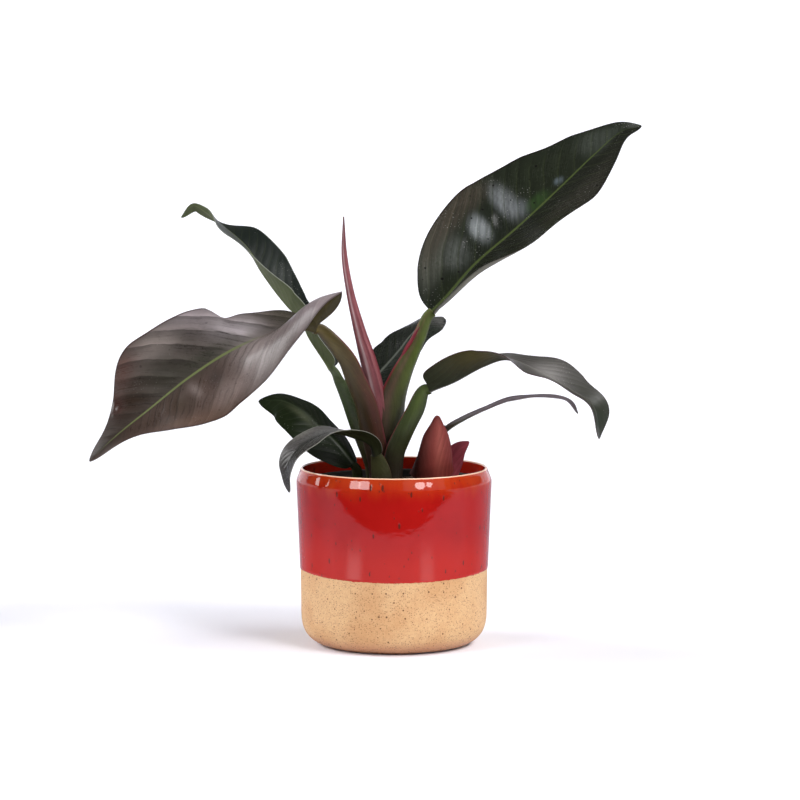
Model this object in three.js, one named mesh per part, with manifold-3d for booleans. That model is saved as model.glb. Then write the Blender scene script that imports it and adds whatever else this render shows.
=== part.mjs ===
// Potted imperial red philodendron, in millimetres. Z is up and the origin is the centre of the pot's foot.
// Seen from the front (from -Y), X runs to the right. A leaf's left half is the half at the viewer's left
// when its tip points away and its upper side faces up.
import * as THREE from "three";
import { mergeVertices } from "three/addons/utils/BufferGeometryUtils.js";
import Module from "manifold-3d";

const wasm = await Module();
wasm.setup();

// Driving dimensions.
const gap = 0.3; // clear space between pieces that touch on the real plant
const potHeight = 128;
const rimRadius = 70; // outside of the glazed pot just under its lip
const footRadius = 54;
const glazeEdgeHeight = 53; // bare clay below, glaze above
const glazeStep = 0.4; // the glaze stands this much proud of the clay
const potFloor = 6;
const nurseryHeight = 119; // height of the inner pot's rim above the table
const nurseryRimRadius = 63;
const nurseryFootRadius = 50;
const nurseryWall = 1.5;
const nurseryBottom = potFloor + gap;
const soilHeight = 112;
const stemTop = 117.7; // the petioles stand on the stems here
const bladeEdge = 0.8; // thickness of a blade at its margin
const bladeMiddle = 1.2; // thickness of a blade beside its midrib
const foldRadius = 1.5; // the midrib's fold is rounded over this distance
const guideSteps = 240;
const potSegments = 64;

// Positions across half a blade where its faces are cut, as shares of the half width.
const bladeCuts = [0, 0.08, 0.24, 0.5, 0.77, 1];

// Leaves. rib: points on the midrib from the blade's base to its tip. face: the way the upper side looks,
// base to tip. width: half width. fold: degrees that a half rises from flat. curl: extra degrees at the edge.
// size: the half width's share of the plain outline. The lists run evenly from base to tip.
const tallLeaf = {
  rib: [
    [27, 8, 239],
    [37, 11, 249],
    [58, 20, 272],
    [91, 30, 300],
    [120, 44, 326],
    [146, 57, 350],
    [166, 68, 366],
    [181, 75, 370],
  ],
  face: [
    [-0.35, -0.85, 0.4],
    [-0.35, -0.85, 0.4],
    [-0.2, -0.8, 0.5],
  ],
  width: 44,
  rise: 0.55,
  taper: 0.75,
  neck: 2,
  wave: { count: 2.5, height: 1.2, phase: 0.1 },
  left: {
    lobe: 4,
    fold: [20, 12, 8, 5, 5, 8, 10],
    curl: [0],
    size: [1, 1.08, 1.17, 1.18, 1.1, 1.04, 0.98, 0.82, 0.74, 0.6, 0.5],
  },
  right: {
    lobe: 2,
    fold: [50, 42, 36, 34, 28, 22, 20],
    curl: [40, 40, 10, 0, 0],
    size: [1, 1, 1.08, 1.12, 1.05, 1.05, 1, 0.88, 0.74, 0.55, 0.5],
  },
};
const broadLeaf = {
  rib: [
    [-56, -22, 230],
    [-66, -27, 231],
    [-77, -32, 230],
    [-92, -39, 226],
    [-117, -48, 215],
    [-144, -57, 198],
    [-171, -65, 177],
    [-195, -72, 158],
    [-213, -75, 141],
  ],
  face: [
    [-0.05, -0.3, 0.95],
    [-0.15, -0.6, 0.75],
    [-0.25, -0.75, 0.6],
    [-0.25, -0.75, 0.6],
    [-0.25, -0.75, 0.6],
  ],
  width: 46,
  rise: 0.6,
  taper: 0.8,
  neck: 3,
  wave: { count: 3, height: 1.5, phase: 0.3 },
  left: {
    lobe: 22,
    fold: [90, 50, 8, 0, 0, 0, 0],
    curl: [-100, -75, -15, 0, 0, 0, 0],
    size: [1.4, 1.65, 1.3, 1, 0.93, 0.98, 0.9, 0.65, 0.4, 0.33, 0.4],
  },
  right: {
    lobe: 7,
    fold: [8, 8, 10, 10, 10, 10],
    curl: [0],
    size: [1, 0.8, 0.65, 0.85, 1.02, 1.08, 1.14, 1.04, 0.7, 0.45, 0.5],
  },
};
const twistedLeaf = {
  rib: [
    [-44, -3, 200],
    [-52, 0, 210],
    [-60, 4, 221],
    [-67, 7, 235],
    [-75, 11, 242],
    [-83, 14, 251],
    [-95, 18, 267],
    [-106, 26, 284],
    [-124, 38, 299],
    [-137, 46, 310],
    [-145, 50, 315],
    [-155, 56, 304],
  ],
  face: [
    [0.5, -0.1, 0.8],
    [0.5, -0.1, 0.8],
    [0.6, 0, 0.7],
    [0.4, 0.15, 0.8],
    [0.2, 0.8, 0.1],
  ],
  width: 26,
  rise: 0.55,
  taper: 0.8,
  neck: 2.5,
  wave: { count: 3, height: 0.8, phase: 0.2 },
  left: {
    lobe: 4,
    fold: [60, 45, 35, 15, -5, 10, 60],
    curl: [0],
    size: [0.8, 0.65, 0.8, 1, 1, 1, 1, 1, 0.75, 0.35, 0.4],
  },
  right: {
    lobe: 4,
    fold: [60, 60, 60, 60, 40, 10, 10],
    curl: [0],
    size: [0.7, 0.5, 0.4, 0.62, 0.78, 0.9, 0.88, 1, 1, 0.8, 0.8],
  },
};
const rearLeaf = {
  rib: [
    [-16, 22, 188],
    [-7, 28, 197],
    [4, 35, 209],
    [13, 42, 220],
    [25, 50, 230],
    [36, 57, 231],
  ],
  face: [[-0.4, -0.6, 0.7]],
  width: 22,
  rise: 0.55,
  taper: 0.45,
  neck: 2,
  wave: { count: 2, height: 0.8, phase: 0 },
  left: {
    lobe: 4,
    fold: [10, 0, -10, -25, -30],
    curl: [0],
    size: [1.2, 1.25, 1.2, 1.2, 1.05, 1, 0.95, 1, 1, 1, 1],
  },
  right: {
    lobe: 8,
    fold: [0],
    curl: [0],
    size: [1.2, 1.3, 1.1, 0.88, 0.8, 0.76, 0.78, 0.9, 0.95, 0.9, 0.8],
  },
};
const archingLeaf = {
  rib: [
    [22, -12, 186],
    [40, -14, 191],
    [64, -18, 203],
    [80, -22, 208],
    [100, -26, 201],
    [127, -32, 186],
    [140, -36, 176],
    [147, -38, 155],
  ],
  face: [
    [-0.1, 0, 1],
    [-0.1, 0, 1],
    [0.3, -0.2, 0.9],
    [0.9, -0.3, 0.3],
  ],
  width: 23,
  rise: 0.5,
  taper: 0.75,
  neck: 3,
  wave: { count: 3, height: 0.8, phase: 0.4 },
  left: {
    lobe: 6,
    fold: [45, 35, 8, 10, 36, 36, 20],
    curl: [0],
    size: [1, 1, 1, 1, 0.9, 1, 1, 0.93, 0.8, 0.95, 1],
  },
  right: {
    lobe: 6,
    fold: [64, 60, 25, 5, 14, 14, 0],
    curl: [0],
    size: [1.1, 1.15, 1.05, 1.05, 1, 1.1, 1, 1, 1, 1, 1],
  },
};
const slenderLeaf = {
  rib: [
    [37, 12, 155],
    [65, 14, 168],
    [85, 16, 175],
    [105, 18, 177],
    [126, 20, 174],
    [133, 21, 164],
  ],
  face: [
    [0, 0.12, 1],
    [0, 0.12, 1],
    [0.6, 0.12, 0.9],
  ],
  width: 17,
  rise: 0.5,
  taper: 0.75,
  neck: 2.4,
  wave: { count: 3, height: 0.4, phase: 0 },
  left: { lobe: 2, fold: [4, 2, 0], curl: [0], size: [1] },
  right: { lobe: 2, fold: [4, 2, 0], curl: [0], size: [1] },
};
const lowLeaf = {
  rib: [
    [-29, 4, 129],
    [-40, 6, 143],
    [-53, 9, 155],
    [-68, 13, 168],
    [-82, 17, 174],
    [-98, 20, 173],
  ],
  face: [[0.2, -0.9, 0.4]],
  width: 25,
  rise: 0.6,
  taper: 0.8,
  neck: 3,
  wave: { count: 2, height: 0.7, phase: 0.2 },
  left: { lobe: 0, fold: [20, 10, 5], curl: [0], size: [1] },
  right: {
    lobe: 0,
    fold: [-48],
    curl: [0],
    size: [0.7, 0.75, 0.85, 0.88, 0.85, 0.85, 0.82, 0.8, 0.78, 0.7, 0.7],
  },
};
const droopingLeaf = {
  rib: [
    [-11, -17, 146],
    [-19, -21, 146],
    [-27, -25, 151],
    [-36, -28, 155],
    [-46, -31, 156],
    [-57, -34, 152],
    [-67, -38, 146],
    [-74, -41, 137],
    [-76, -43, 126],
    [-74, -44, 115],
  ],
  face: [
    [0.3, 0, 0.9],
    [0, -0.1, 1],
    [-0.4, -0.2, 0.9],
    [-0.9, -0.4, 0.2],
  ],
  width: 13.5,
  rise: 0.5,
  taper: 0.7,
  neck: 3,
  wave: { count: 2.5, height: 0.5, phase: 0.1 },
  left: {
    lobe: 0,
    fold: [50, 48, 15, 0, 0, 0],
    curl: [0],
    size: [0.7, 0.8, 0.9, 0.9, 1, 1, 1, 1, 1, 0.8, 1],
  },
  right: {
    lobe: 0,
    fold: [25, 15, 5, 10, 20, 22, 20],
    curl: [0],
    size: [0.8, 0.8, 0.9, 1, 1.15, 1.15, 1.1, 1.15, 1, 0.7, 1],
  },
};

// Cataphylls: sheaths without a blade, whose hollow side faces the stem.
const frontSheath = {
  rib: [
    [29, 2, 118],
    [28, -2, 128],
    [28.5, -4, 140],
    [30, -3, 153],
    [31, 0, 165],
  ],
  face: [[0, 1, 0.2]],
  width: 19,
  rise: 0.1,
  taper: 0.55,
  neck: 8,
  wave: { count: 2, height: 0.3, phase: 0 },
  left: { lobe: 0, fold: [15], curl: [60], size: [1, 1, 1, 1, 0.98, 0.95, 0.9, 0.85, 0.8] },
  right: { lobe: 0, fold: [15], curl: [60], size: [1, 1, 1, 1, 0.98, 0.95, 0.9, 0.85, 0.8] },
};
const rearSheath = {
  rib: [
    [37, 13, 118],
    [41, 14, 129],
    [46, 13, 138],
    [54, 10, 145],
  ],
  face: [[0, -1, 0.3]],
  width: 8,
  rise: 0.3,
  taper: 0.8,
  neck: 3,
  wave: { count: 1, height: 0.3, phase: 0 },
  left: { lobe: 0, fold: [-10], curl: [0], size: [1] },
  right: { lobe: 0, fold: [-10], curl: [0], size: [1] },
};

// Petioles and the rolled new leaf. path: points on the centre line from the base up. half: half width.
// thick: thickness through the middle. wrap: how far the two wings reach forward round the stem.
const tallPetiole = {
  path: [
    [-3, 0, 118],
    [-3, 0, 126],
    [-1, 1, 154],
    [1, 2, 176],
    [6, 3, 192],
    [13, 5, 208],
    [19, 6, 222],
  ],
  face: [[-0.5, 0.8, 0.2]],
  half: [9, 10.5, 11, 11.5, 9.5, 7, 5.6, 4],
  thick: [5, 5, 5, 5, 5, 5, 5, 4.4],
  wrap: [5, 5, 4, 4, 3, 2, 1, 0],
  blade: tallLeaf,
};
const broadPetiole = {
  path: [
    [-10, -5, 118],
    [-10, -5, 126],
    [-14, -7, 154],
    [-20, -10, 175],
    [-28, -14, 191],
    [-34, -18, 206],
    [-43, -21, 219],
  ],
  face: [[0.5, 0.8, 0.2]],
  half: [8, 8.5, 8.5, 8.5, 8.5, 7.5, 6.5, 4],
  thick: [5, 5, 5, 5, 5, 5, 5, 4.4],
  wrap: [5, 5, 4, 4, 3, 2, 1, 0],
  blade: broadLeaf,
};
const twistedPetiole = {
  path: [
    [-20, 6, 118],
    [-20, 6, 125],
    [-25, 6, 151],
    [-34, 4, 174],
    [-39, 1, 188],
  ],
  face: [[0.5, 0.8, 0.3]],
  half: [5, 6, 6, 5, 3.2],
  thick: [5, 5, 5, 5, 4],
  wrap: [3, 2, 1, 0],
  blade: twistedLeaf,
};
const rearPetiole = {
  path: [
    [-6, 10, 118],
    [-8, 12, 150],
    [-16, 19, 177],
  ],
  face: [[0, -1, 0.3]],
  half: [6, 5, 4.5, 3.2],
  thick: [5, 5, 5, 4],
  wrap: [3, 2, 1, 0],
  blade: rearLeaf,
};
const archingPetiole = {
  path: [
    [0, -10, 118],
    [0, -10, 125],
    [1, -11, 139],
    [6, -12, 154],
    [13, -12, 170],
  ],
  face: [[-0.3, 0.9, 0.2]],
  half: [7.5, 7.5, 7.5, 7, 6.5, 3.8],
  thick: [5, 5, 5, 5, 4.4],
  wrap: [3, 2, 1, 0],
  blade: archingLeaf,
};
const slenderPetiole = {
  path: [
    [31, 10, 118],
    [31, 10, 132],
    [32, 11, 146],
  ],
  face: [[0, 1, 0.3]],
  half: [4, 3.5, 3, 2.6],
  thick: [5, 4.5, 4, 3.5],
  wrap: [0],
  blade: slenderLeaf,
};
const lowPetiole = {
  path: [
    [-26, 6, 118],
    [-26.5, 5, 123],
  ],
  face: [[0.5, 0.8, 0.3]],
  half: [4.5, 4, 3.4],
  thick: [5, 5, 4],
  wrap: [0],
  blade: lowLeaf,
};
const droopingPetiole = {
  path: [
    [-4, -14, 118],
    [-4, -14, 128],
    [-4.5, -15, 139],
  ],
  face: [[0, 0.9, 0.3]],
  half: [5, 5, 4.5, 3.2],
  thick: [4, 4, 4],
  wrap: [2, 1, 0],
  blade: droopingLeaf,
};
const newLeaf = {
  path: [
    [-7, 3, 118],
    [-8, 2, 150],
    [-15, 1, 190],
    [-25.5, 0, 229],
    [-31.5, 0, 254],
    [-35.5, 0, 280],
    [-36, 0, 308],
  ],
  face: [[0, -1, 0]],
  half: [4, 5, 6, 6, 4.3, 2.9, 2.1, 0.5],
  thick: [8, 9, 10, 10, 7.5, 5.5, 4, 1],
  wrap: [0],
};

// A value between evenly spaced ones, on a smooth curve through them. share runs from 0 to 1.
function blend(values, share) {
  if (values.length === 1) return values[0];
  const last = values.length - 1;
  const place = Math.min(Math.max(share, 0), 1) * last;
  const index = Math.min(Math.floor(place), last - 1);
  const step = place - index;
  const start = values[index];
  const end = values[index + 1];
  const before = index > 0 ? values[index - 1] : 2 * start - end;
  const after = index + 2 <= last ? values[index + 2] : 2 * end - start;
  const slope = end - before;
  const bend = 2 * before - 5 * start + 4 * end - after;
  const twist = 3 * start - before - 3 * end + after;
  return 0.5 * (2 * start + slope * step + bend * step ** 2 + twist * step ** 3);
}

// A centre line with a frame at each place: along, across and the facing direction. It runs on straight
// past both of its ends.
function guideThrough(points, faces) {
  const curve = new THREE.CatmullRomCurve3(points.map((p) => new THREE.Vector3(...p)));
  curve.arcLengthDivisions = 600;
  const length = curve.getLength();
  const spots = curve.getSpacedPoints(guideSteps);
  const frames = spots.map((spot, i) => {
    const ahead = spots[Math.min(i + 1, guideSteps)];
    const behind = spots[Math.max(i - 1, 0)];
    const along = ahead.clone().sub(behind).normalize();
    const facing = new THREE.Vector3(
      blend(faces.map((f) => f[0]), i / guideSteps),
      blend(faces.map((f) => f[1]), i / guideSteps),
      blend(faces.map((f) => f[2]), i / guideSteps),
    );
    facing.addScaledVector(along, -facing.dot(along)).normalize();
    return { spot, along, facing, across: along.clone().cross(facing) };
  });
  const at = (distance) => {
    const inside = Math.min(Math.max(distance, 0), length);
    const place = (inside / length) * guideSteps;
    const index = Math.min(Math.floor(place), guideSteps - 1);
    const step = place - index;
    const mix = (name) => frames[index][name].clone().lerp(frames[index + 1][name], step);
    const along = mix("along");
    const spot = mix("spot").addScaledVector(along, distance - inside);
    return { spot, along, facing: mix("facing"), across: mix("across") };
  };
  return { length, at };
}

// A closed mesh from corner points and triangles, turned to face outwards.
function closedMesh(points, triangles) {
  let volume = 0;
  for (const [a, b, c] of triangles) {
    volume += points[a].dot(points[b].clone().cross(points[c]));
  }
  const turned = volume < 0 ? triangles.map(([a, b, c]) => [a, c, b]) : triangles;
  const flat = points.flatMap((p) => [p.x, p.y, p.z]);
  const geometry = new THREE.BufferGeometry();
  geometry.setAttribute("position", new THREE.Float32BufferAttribute(flat, 3));
  geometry.setIndex(turned.flat());
  return geometry;
}

// Where a point of the blade lies, and which way its upper side looks there. share runs from the base to
// the tip and half from -1 at the left edge to 1 at the right edge.
function bladePoint(leaf, guide, share, half) {
  const { rise, taper } = leaf;
  const side = half < 0 ? leaf.left : leaf.right;
  const sign = half < 0 ? -1 : 1;
  const reach = Math.abs(half);
  const peak = (rise / (rise + taper)) ** rise * (taper / (rise + taper)) ** taper;
  const outline = (share ** rise * (1 - share) ** taper) / peak;
  const width = leaf.width * outline * blend(side.size, share) + leaf.neck * (1 - share) ** 12 + 0.4;
  // The edge reaches back over the base in a lobe, and forward along the side veins elsewhere.
  const back = side.lobe * (share / 0.08) * Math.exp(1 - share / 0.08);
  const forward = 0.3 * width * Math.min(3 * share, 1) * (1 - share);
  const distance = share * guide.length + reach ** 2 * (forward - back);
  const { spot, along, facing, across } = guide.at(distance);
  const place = distance / guide.length;
  const fold = THREE.MathUtils.degToRad(blend(side.fold, place));
  const curl = THREE.MathUtils.degToRad(blend(side.curl, place));
  // The section is followed from the rib outwards in short steps, each at its own slope.
  const steps = 12;
  const run = (width * reach) / steps;
  let out = 0;
  let up = 0;
  let slope = 0;
  for (let k = 0; k < steps; k += 1) {
    const from = (k + 0.5) / steps;
    const rounding = 1 - Math.exp((-from * width * reach) / foldRadius);
    slope = rounding * (fold + curl * (from * reach) ** 2);
    out += run * Math.cos(slope);
    up += run * Math.sin(slope);
  }
  const { count, height, phase } = leaf.wave;
  const turn = 2 * Math.PI * (count * share + phase) + (half < 0 ? 1.3 : 0);
  const lift = height * Math.sin(turn) * reach ** 2.5 * Math.sin(Math.PI * share);
  const position = spot
    .clone()
    .addScaledVector(across, sign * (out - lift * Math.sin(slope)))
    .addScaledVector(facing, up + lift * Math.cos(slope));
  const lean = reach === 0 ? 0 : slope;
  const upper = facing.clone().multiplyScalar(Math.cos(lean));
  upper.addScaledVector(across, -sign * Math.sin(lean)).normalize();
  return { position, upper, width, along };
}

// A blade as a solid: an upper and a lower sheet with the same cuts, a rim, and a thicker rib below.
function blade(leaf, rows, grow = 0) {
  const guide = guideThrough(leaf.rib, leaf.face);
  const cuts = [...bladeCuts.slice(1).reverse().map((cut) => -cut), ...bladeCuts];
  const columns = cuts.length;
  const upperSide = [];
  const lowerSide = [];
  for (let i = 0; i <= rows; i += 1) {
    const even = i / rows;
    const share = even - 0.025 * Math.sin(2 * Math.PI * even);
    for (const half of cuts) {
      const { position, upper, width } = bladePoint(leaf, guide, share, half);
      const fromRib = width * Math.abs(half);
      const plain = (bladeEdge + (bladeMiddle - bladeEdge) * (1 - half ** 2) * (1 - share)) / 2;
      const ribHeight = 2 * Math.exp(-share / 0.06) + 1.2 * (1 - share);
      const rib = ribHeight * Math.exp(-((fromRib / 2.4) ** 2));
      upperSide.push(position.clone().addScaledVector(upper, plain + grow));
      lowerSide.push(position.clone().addScaledVector(upper, -plain - rib - grow));
    }
  }
  const points = [...upperSide, ...lowerSide];
  const under = upperSide.length;
  const triangles = [];
  const quad = (a, b, c, d) => triangles.push([a, b, c], [a, c, d]);
  for (let i = 0; i < rows; i += 1) {
    for (let j = 0; j + 1 < columns; j += 1) {
      const a = i * columns + j;
      const b = a + columns;
      quad(a, b, b + 1, a + 1);
      triangles.push([under + a, under + b + 1, under + b], [under + a, under + a + 1, under + b + 1]);
    }
    const left = i * columns;
    const right = left + columns - 1;
    quad(left, under + left, under + left + columns, left + columns);
    quad(right, right + columns, under + right + columns, under + right);
  }
  const tip = rows * columns;
  for (let j = 0; j + 1 < columns; j += 1) {
    quad(j, j + 1, under + j + 1, under + j);
    quad(tip + j, under + tip + j, under + tip + j + 1, tip + j + 1);
  }
  return closedMesh(points, triangles);
}

// A petiole or rolled leaf: rings along its path with a crescent section, closed at both ends. A petiole
// with a blade ends just before the blade's base, in line with it.
function stalk(shape, rows, sides, grow = 0) {
  const path = [...shape.path];
  if (shape.blade) {
    const start = guideThrough(shape.blade.rib, shape.blade.face).at(0);
    const seat = start.spot.clone().addScaledVector(start.facing, -0.8);
    for (const distance of [4, gap]) {
      path.push(seat.clone().addScaledVector(start.along, -distance).toArray());
    }
  }
  const guide = guideThrough(path, shape.face);
  const points = [];
  const triangles = [];
  for (let i = 0; i <= rows; i += 1) {
    const share = i / rows;
    const distance = share * guide.length + (i === 0 ? -grow : 0) + (i === rows ? grow : 0);
    const { spot, facing, across } = guide.at(distance);
    for (let j = 0; j < sides; j += 1) {
      const angle = (2 * Math.PI * j) / sides;
      const x = (blend(shape.half, share) + grow) * Math.cos(angle);
      const wing = blend(shape.wrap, share) * Math.cos(angle) ** 2;
      const y = wing + (blend(shape.thick, share) / 2 + grow) * Math.sin(angle);
      points.push(spot.clone().addScaledVector(across, x).addScaledVector(facing, y));
      if (i === rows) continue;
      const a = i * sides + j;
      const b = i * sides + ((j + 1) % sides);
      triangles.push([a, b, b + sides], [a, b + sides, a + sides]);
    }
  }
  for (const [first, distance] of [
    [0, -grow],
    [rows * sides, guide.length + grow],
  ]) {
    points.push(guide.at(distance).spot);
    for (let j = 0; j < sides; j += 1) {
      const pair = [first + j, first + ((j + 1) % sides)];
      triangles.push([points.length - 1, ...(first ? pair : pair.reverse())]);
    }
  }
  return closedMesh(points, triangles);
}

// A turned body from its profile, as radius and height pairs from the axis round to the axis.
function turned(profile, segments) {
  const points = profile.map(([radius, height]) => new THREE.Vector2(radius, height));
  return new THREE.LatheGeometry(points, segments).rotateX(Math.PI / 2);
}

function solidOf(geometry) {
  const plain = geometry.clone();
  plain.deleteAttribute("normal");
  plain.deleteAttribute("uv");
  const merged = mergeVertices(plain, 1e-4);
  const solid = new wasm.Mesh({
    numProp: 3,
    vertProperties: merged.attributes.position.array,
    triVerts: new Uint32Array(merged.index.array),
  });
  return new wasm.Manifold(solid);
}

function geometryOf(solid) {
  const mesh = solid.getMesh();
  const geometry = new THREE.BufferGeometry();
  geometry.setAttribute("position", new THREE.BufferAttribute(new Float32Array(mesh.vertProperties), 3));
  geometry.setIndex(new THREE.BufferAttribute(mesh.triVerts, 1));
  return geometry;
}

// The geometry less every other one, keeping only its largest piece.
function cutClear(geometry, others) {
  let solid = solidOf(geometry);
  for (const other of others) solid = solid.subtract(solidOf(other));
  const pieces = solid.decompose();
  pieces.sort((a, b) => b.volume() - a.volume());
  return geometryOf(pieces[0]);
}

// A stem's short stub: narrow in the soil, wider at the top where the petioles stand.
function stem(x, y, topRadius, deepRadius) {
  const profile = [
    [0, 84],
    [deepRadius * 0.8, 84],
    [deepRadius, 87],
    [deepRadius * 1.05, 104],
    [topRadius * 0.93, 112],
    [topRadius, 115.5],
    [topRadius * 0.96, stemTop],
    [0, stemTop],
  ];
  return (grow) => {
    const grown = profile.map(([r, z], i) => [r > 0 ? r + grow : 0, z + (i < 2 ? -grow : 0) + (i > 5 ? grow : 0)]);
    return turned(grown, 24).translate(x, y, 0);
  };
}

const mainStem = stem(-5, -3, 17.5, 9);
const leftStem = stem(-24, 7, 7.5, 5);
const rightStem = stem(32, 9, 14, 8);

// The inside of the nursery pot's wall, from its foot at 0 to its rim's band at 1.
function nurseryInside(share) {
  const radius = nurseryFootRadius - nurseryWall + share * (nurseryRimRadius - 1 - nurseryFootRadius);
  const height = nurseryBottom + 3 + share * (nurseryHeight - 7 - nurseryBottom);
  return { radius, height };
}

// Soil: a turned block whose top is uneven, with a hole for each stem.
function soil() {
  const low = nurseryInside(0);
  const high = nurseryInside(1);
  const bottom = nurseryBottom + nurseryWall + gap;
  const fill = (soilHeight - low.height) / (high.height - low.height);
  const profile = [
    [0, bottom],
    [low.radius - 2 - gap, bottom],
    [low.radius - gap, low.height + gap],
    [low.radius + fill * (high.radius - low.radius) - gap, soilHeight],
  ];
  for (const radius of [55, 49, 43, 36, 29, 21, 13, 0]) profile.push([radius, soilHeight + 0.6]);
  const geometry = turned(profile, 32);
  const position = geometry.attributes.position;
  for (let i = 0; i < position.count; i += 1) {
    const x = position.getX(i);
    const y = position.getY(i);
    const z = position.getZ(i);
    if (z < soilHeight + 0.5) continue;
    const lumps = 0.9 * Math.sin(0.31 * x + 1) * Math.cos(0.27 * y) + 0.5 * Math.sin(0.8 * x - 0.6 * y);
    position.setZ(i, z + lumps);
  }
  return cutClear(geometry, [mainStem(gap), leftStem(gap), rightStem(gap)]);
}

const ceramicProfile = [
  [0, 0],
  [footRadius, 0],
  [57.4, 3.3],
  [60.3, 5],
  [63.2, 7.9],
  [66.4, 11.5],
  [66.9, 14],
  [67.1, glazeEdgeHeight - 0.6],
  [67.1 + glazeStep, glazeEdgeHeight],
  [68.5, 85],
  [rimRadius, potHeight - 2],
  [rimRadius - 0.6, potHeight - 0.4],
  [rimRadius - 2, potHeight],
  [rimRadius - 3.7, potHeight - 1],
  [rimRadius - 4, potHeight - 3],
  [63.5, 60],
  [63, potFloor + 2],
  [61, potFloor],
  [0, potFloor],
];

const nurseryProfile = [
  [0, nurseryBottom],
  [nurseryFootRadius - 2, nurseryBottom],
  [nurseryFootRadius, nurseryBottom + 2],
  [nurseryRimRadius - 1, nurseryHeight - 4],
  [nurseryRimRadius, nurseryHeight - 3.6],
  [nurseryRimRadius, nurseryHeight - 0.4],
  [nurseryRimRadius - 0.6, nurseryHeight],
  [nurseryRimRadius - 1 - nurseryWall, nurseryHeight],
  [nurseryInside(1).radius, nurseryInside(1).height],
  [nurseryInside(0).radius, nurseryInside(0).height],
  [nurseryFootRadius - 2 - nurseryWall, nurseryBottom + nurseryWall],
  [0, nurseryBottom + nurseryWall],
];

const plant = new THREE.Group();
plant.name = "potted_philodendron";

function add(name, geometry, color, roughness = 0.6, metalness = 0) {
  const material = new THREE.MeshStandardMaterial({ color, roughness, metalness });
  const mesh = new THREE.Mesh(geometry, material);
  mesh.name = name;
  plant.add(mesh);
}

const darkGreen = "#2f3a2a";
const greyGreen = "#5a5f58";
const stalkGreen = "#5f6a35";
const stalkBrown = "#5c4a30";

add("ceramic_pot", turned(ceramicProfile, potSegments), "#b5231a", 0.15);
add("nursery_pot", turned(nurseryProfile, 48), "#1b1b1b", 0.5);
add("potting_soil", soil(), "#2a1f18", 0.95);
add("main_stem", cutClear(mainStem(0), [leftStem(gap)]), stalkBrown, 0.8);
add("left_stem", leftStem(0), stalkBrown, 0.8);
add("right_stem", rightStem(0), stalkBrown, 0.8);

add("tall_blade", blade(tallLeaf, 22), darkGreen, 0.35);
add("broad_blade", blade(broadLeaf, 24), greyGreen, 0.35);
add("twisted_blade", blade(twistedLeaf, 20), darkGreen, 0.35);
add("rear_blade", blade(rearLeaf, 14), darkGreen, 0.35);
add("arching_blade", blade(archingLeaf, 20), greyGreen, 0.35);
add("slender_blade", blade(slenderLeaf, 14), darkGreen, 0.35);
add("low_blade", blade(lowLeaf, 14), darkGreen, 0.35);
add("drooping_blade", blade(droopingLeaf, 18), greyGreen, 0.35);

const stalkSides = 12;
const grown = (shape, rows) => stalk(shape, rows, stalkSides, gap);
const spear = grown(newLeaf, 18);
add("new_leaf", stalk(newLeaf, 18, stalkSides), "#a2404c", 0.4);
add("drooping_petiole", stalk(droopingPetiole, 8, stalkSides), stalkGreen, 0.45);
const drooping = grown(droopingPetiole, 8);
add("arching_petiole", cutClear(stalk(archingPetiole, 12, stalkSides), [drooping]), stalkGreen, 0.45);
const arching = grown(archingPetiole, 12);
const front = [drooping, arching, spear];
add("broad_petiole", cutClear(stalk(broadPetiole, 16, stalkSides), front), stalkBrown, 0.45);
const broad = grown(broadPetiole, 16);
add("tall_petiole", cutClear(stalk(tallPetiole, 16, stalkSides), [...front, broad]), stalkGreen, 0.45);
const tall = grown(tallPetiole, 16);
add("twisted_petiole", cutClear(stalk(twistedPetiole, 12, stalkSides), [broad, tall, spear]), stalkGreen, 0.45);
const twisted = grown(twistedPetiole, 12);
const rearOthers = [broad, tall, spear, twisted];
add("rear_petiole", cutClear(stalk(rearPetiole, 10, stalkSides), rearOthers), stalkGreen, 0.45);
add("low_petiole", cutClear(stalk(lowPetiole, 4, stalkSides), [twisted, leftStem(gap)]), stalkGreen, 0.45);
add("slender_petiole", stalk(slenderPetiole, 8, stalkSides), stalkGreen, 0.45);
add("front_cataphyll", cutClear(blade(frontSheath, 12), [rightStem(gap)]), "#a03c34", 0.45);
const sheathOthers = [blade(frontSheath, 12, gap), rightStem(gap)];
add("rear_cataphyll", cutClear(blade(rearSheath, 8), sheathOthers), "#8c3236", 0.45);

export default plant;
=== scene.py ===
import bpy
import numpy as np
from math import radians
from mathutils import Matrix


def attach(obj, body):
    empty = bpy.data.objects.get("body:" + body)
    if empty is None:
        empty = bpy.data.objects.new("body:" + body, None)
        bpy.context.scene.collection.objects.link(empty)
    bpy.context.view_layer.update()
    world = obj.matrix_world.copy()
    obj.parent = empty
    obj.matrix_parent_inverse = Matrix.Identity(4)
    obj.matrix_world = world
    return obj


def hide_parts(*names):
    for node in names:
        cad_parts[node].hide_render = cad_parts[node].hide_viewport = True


# Potted imperial red philodendron. Shapes are worked out in millimetres and put into the meshes in metres.

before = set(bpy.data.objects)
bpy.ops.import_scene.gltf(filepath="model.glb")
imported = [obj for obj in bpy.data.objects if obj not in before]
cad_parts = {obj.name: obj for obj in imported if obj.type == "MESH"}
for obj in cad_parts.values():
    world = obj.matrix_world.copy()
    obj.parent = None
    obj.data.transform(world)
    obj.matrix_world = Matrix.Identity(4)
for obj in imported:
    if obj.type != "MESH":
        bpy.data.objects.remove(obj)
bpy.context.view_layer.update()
mm = 0.001


def toneOf(text):
    # a colour written as on a screen, turned linear for the shader
    part = np.array([int(text[i:i + 2], 16) / 255 for i in (1, 3, 5)])
    return np.where(part <= 0.04045, part / 12.92, ((part + 0.055) / 1.055) ** 2.4)


# Camera, floor and light

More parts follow.
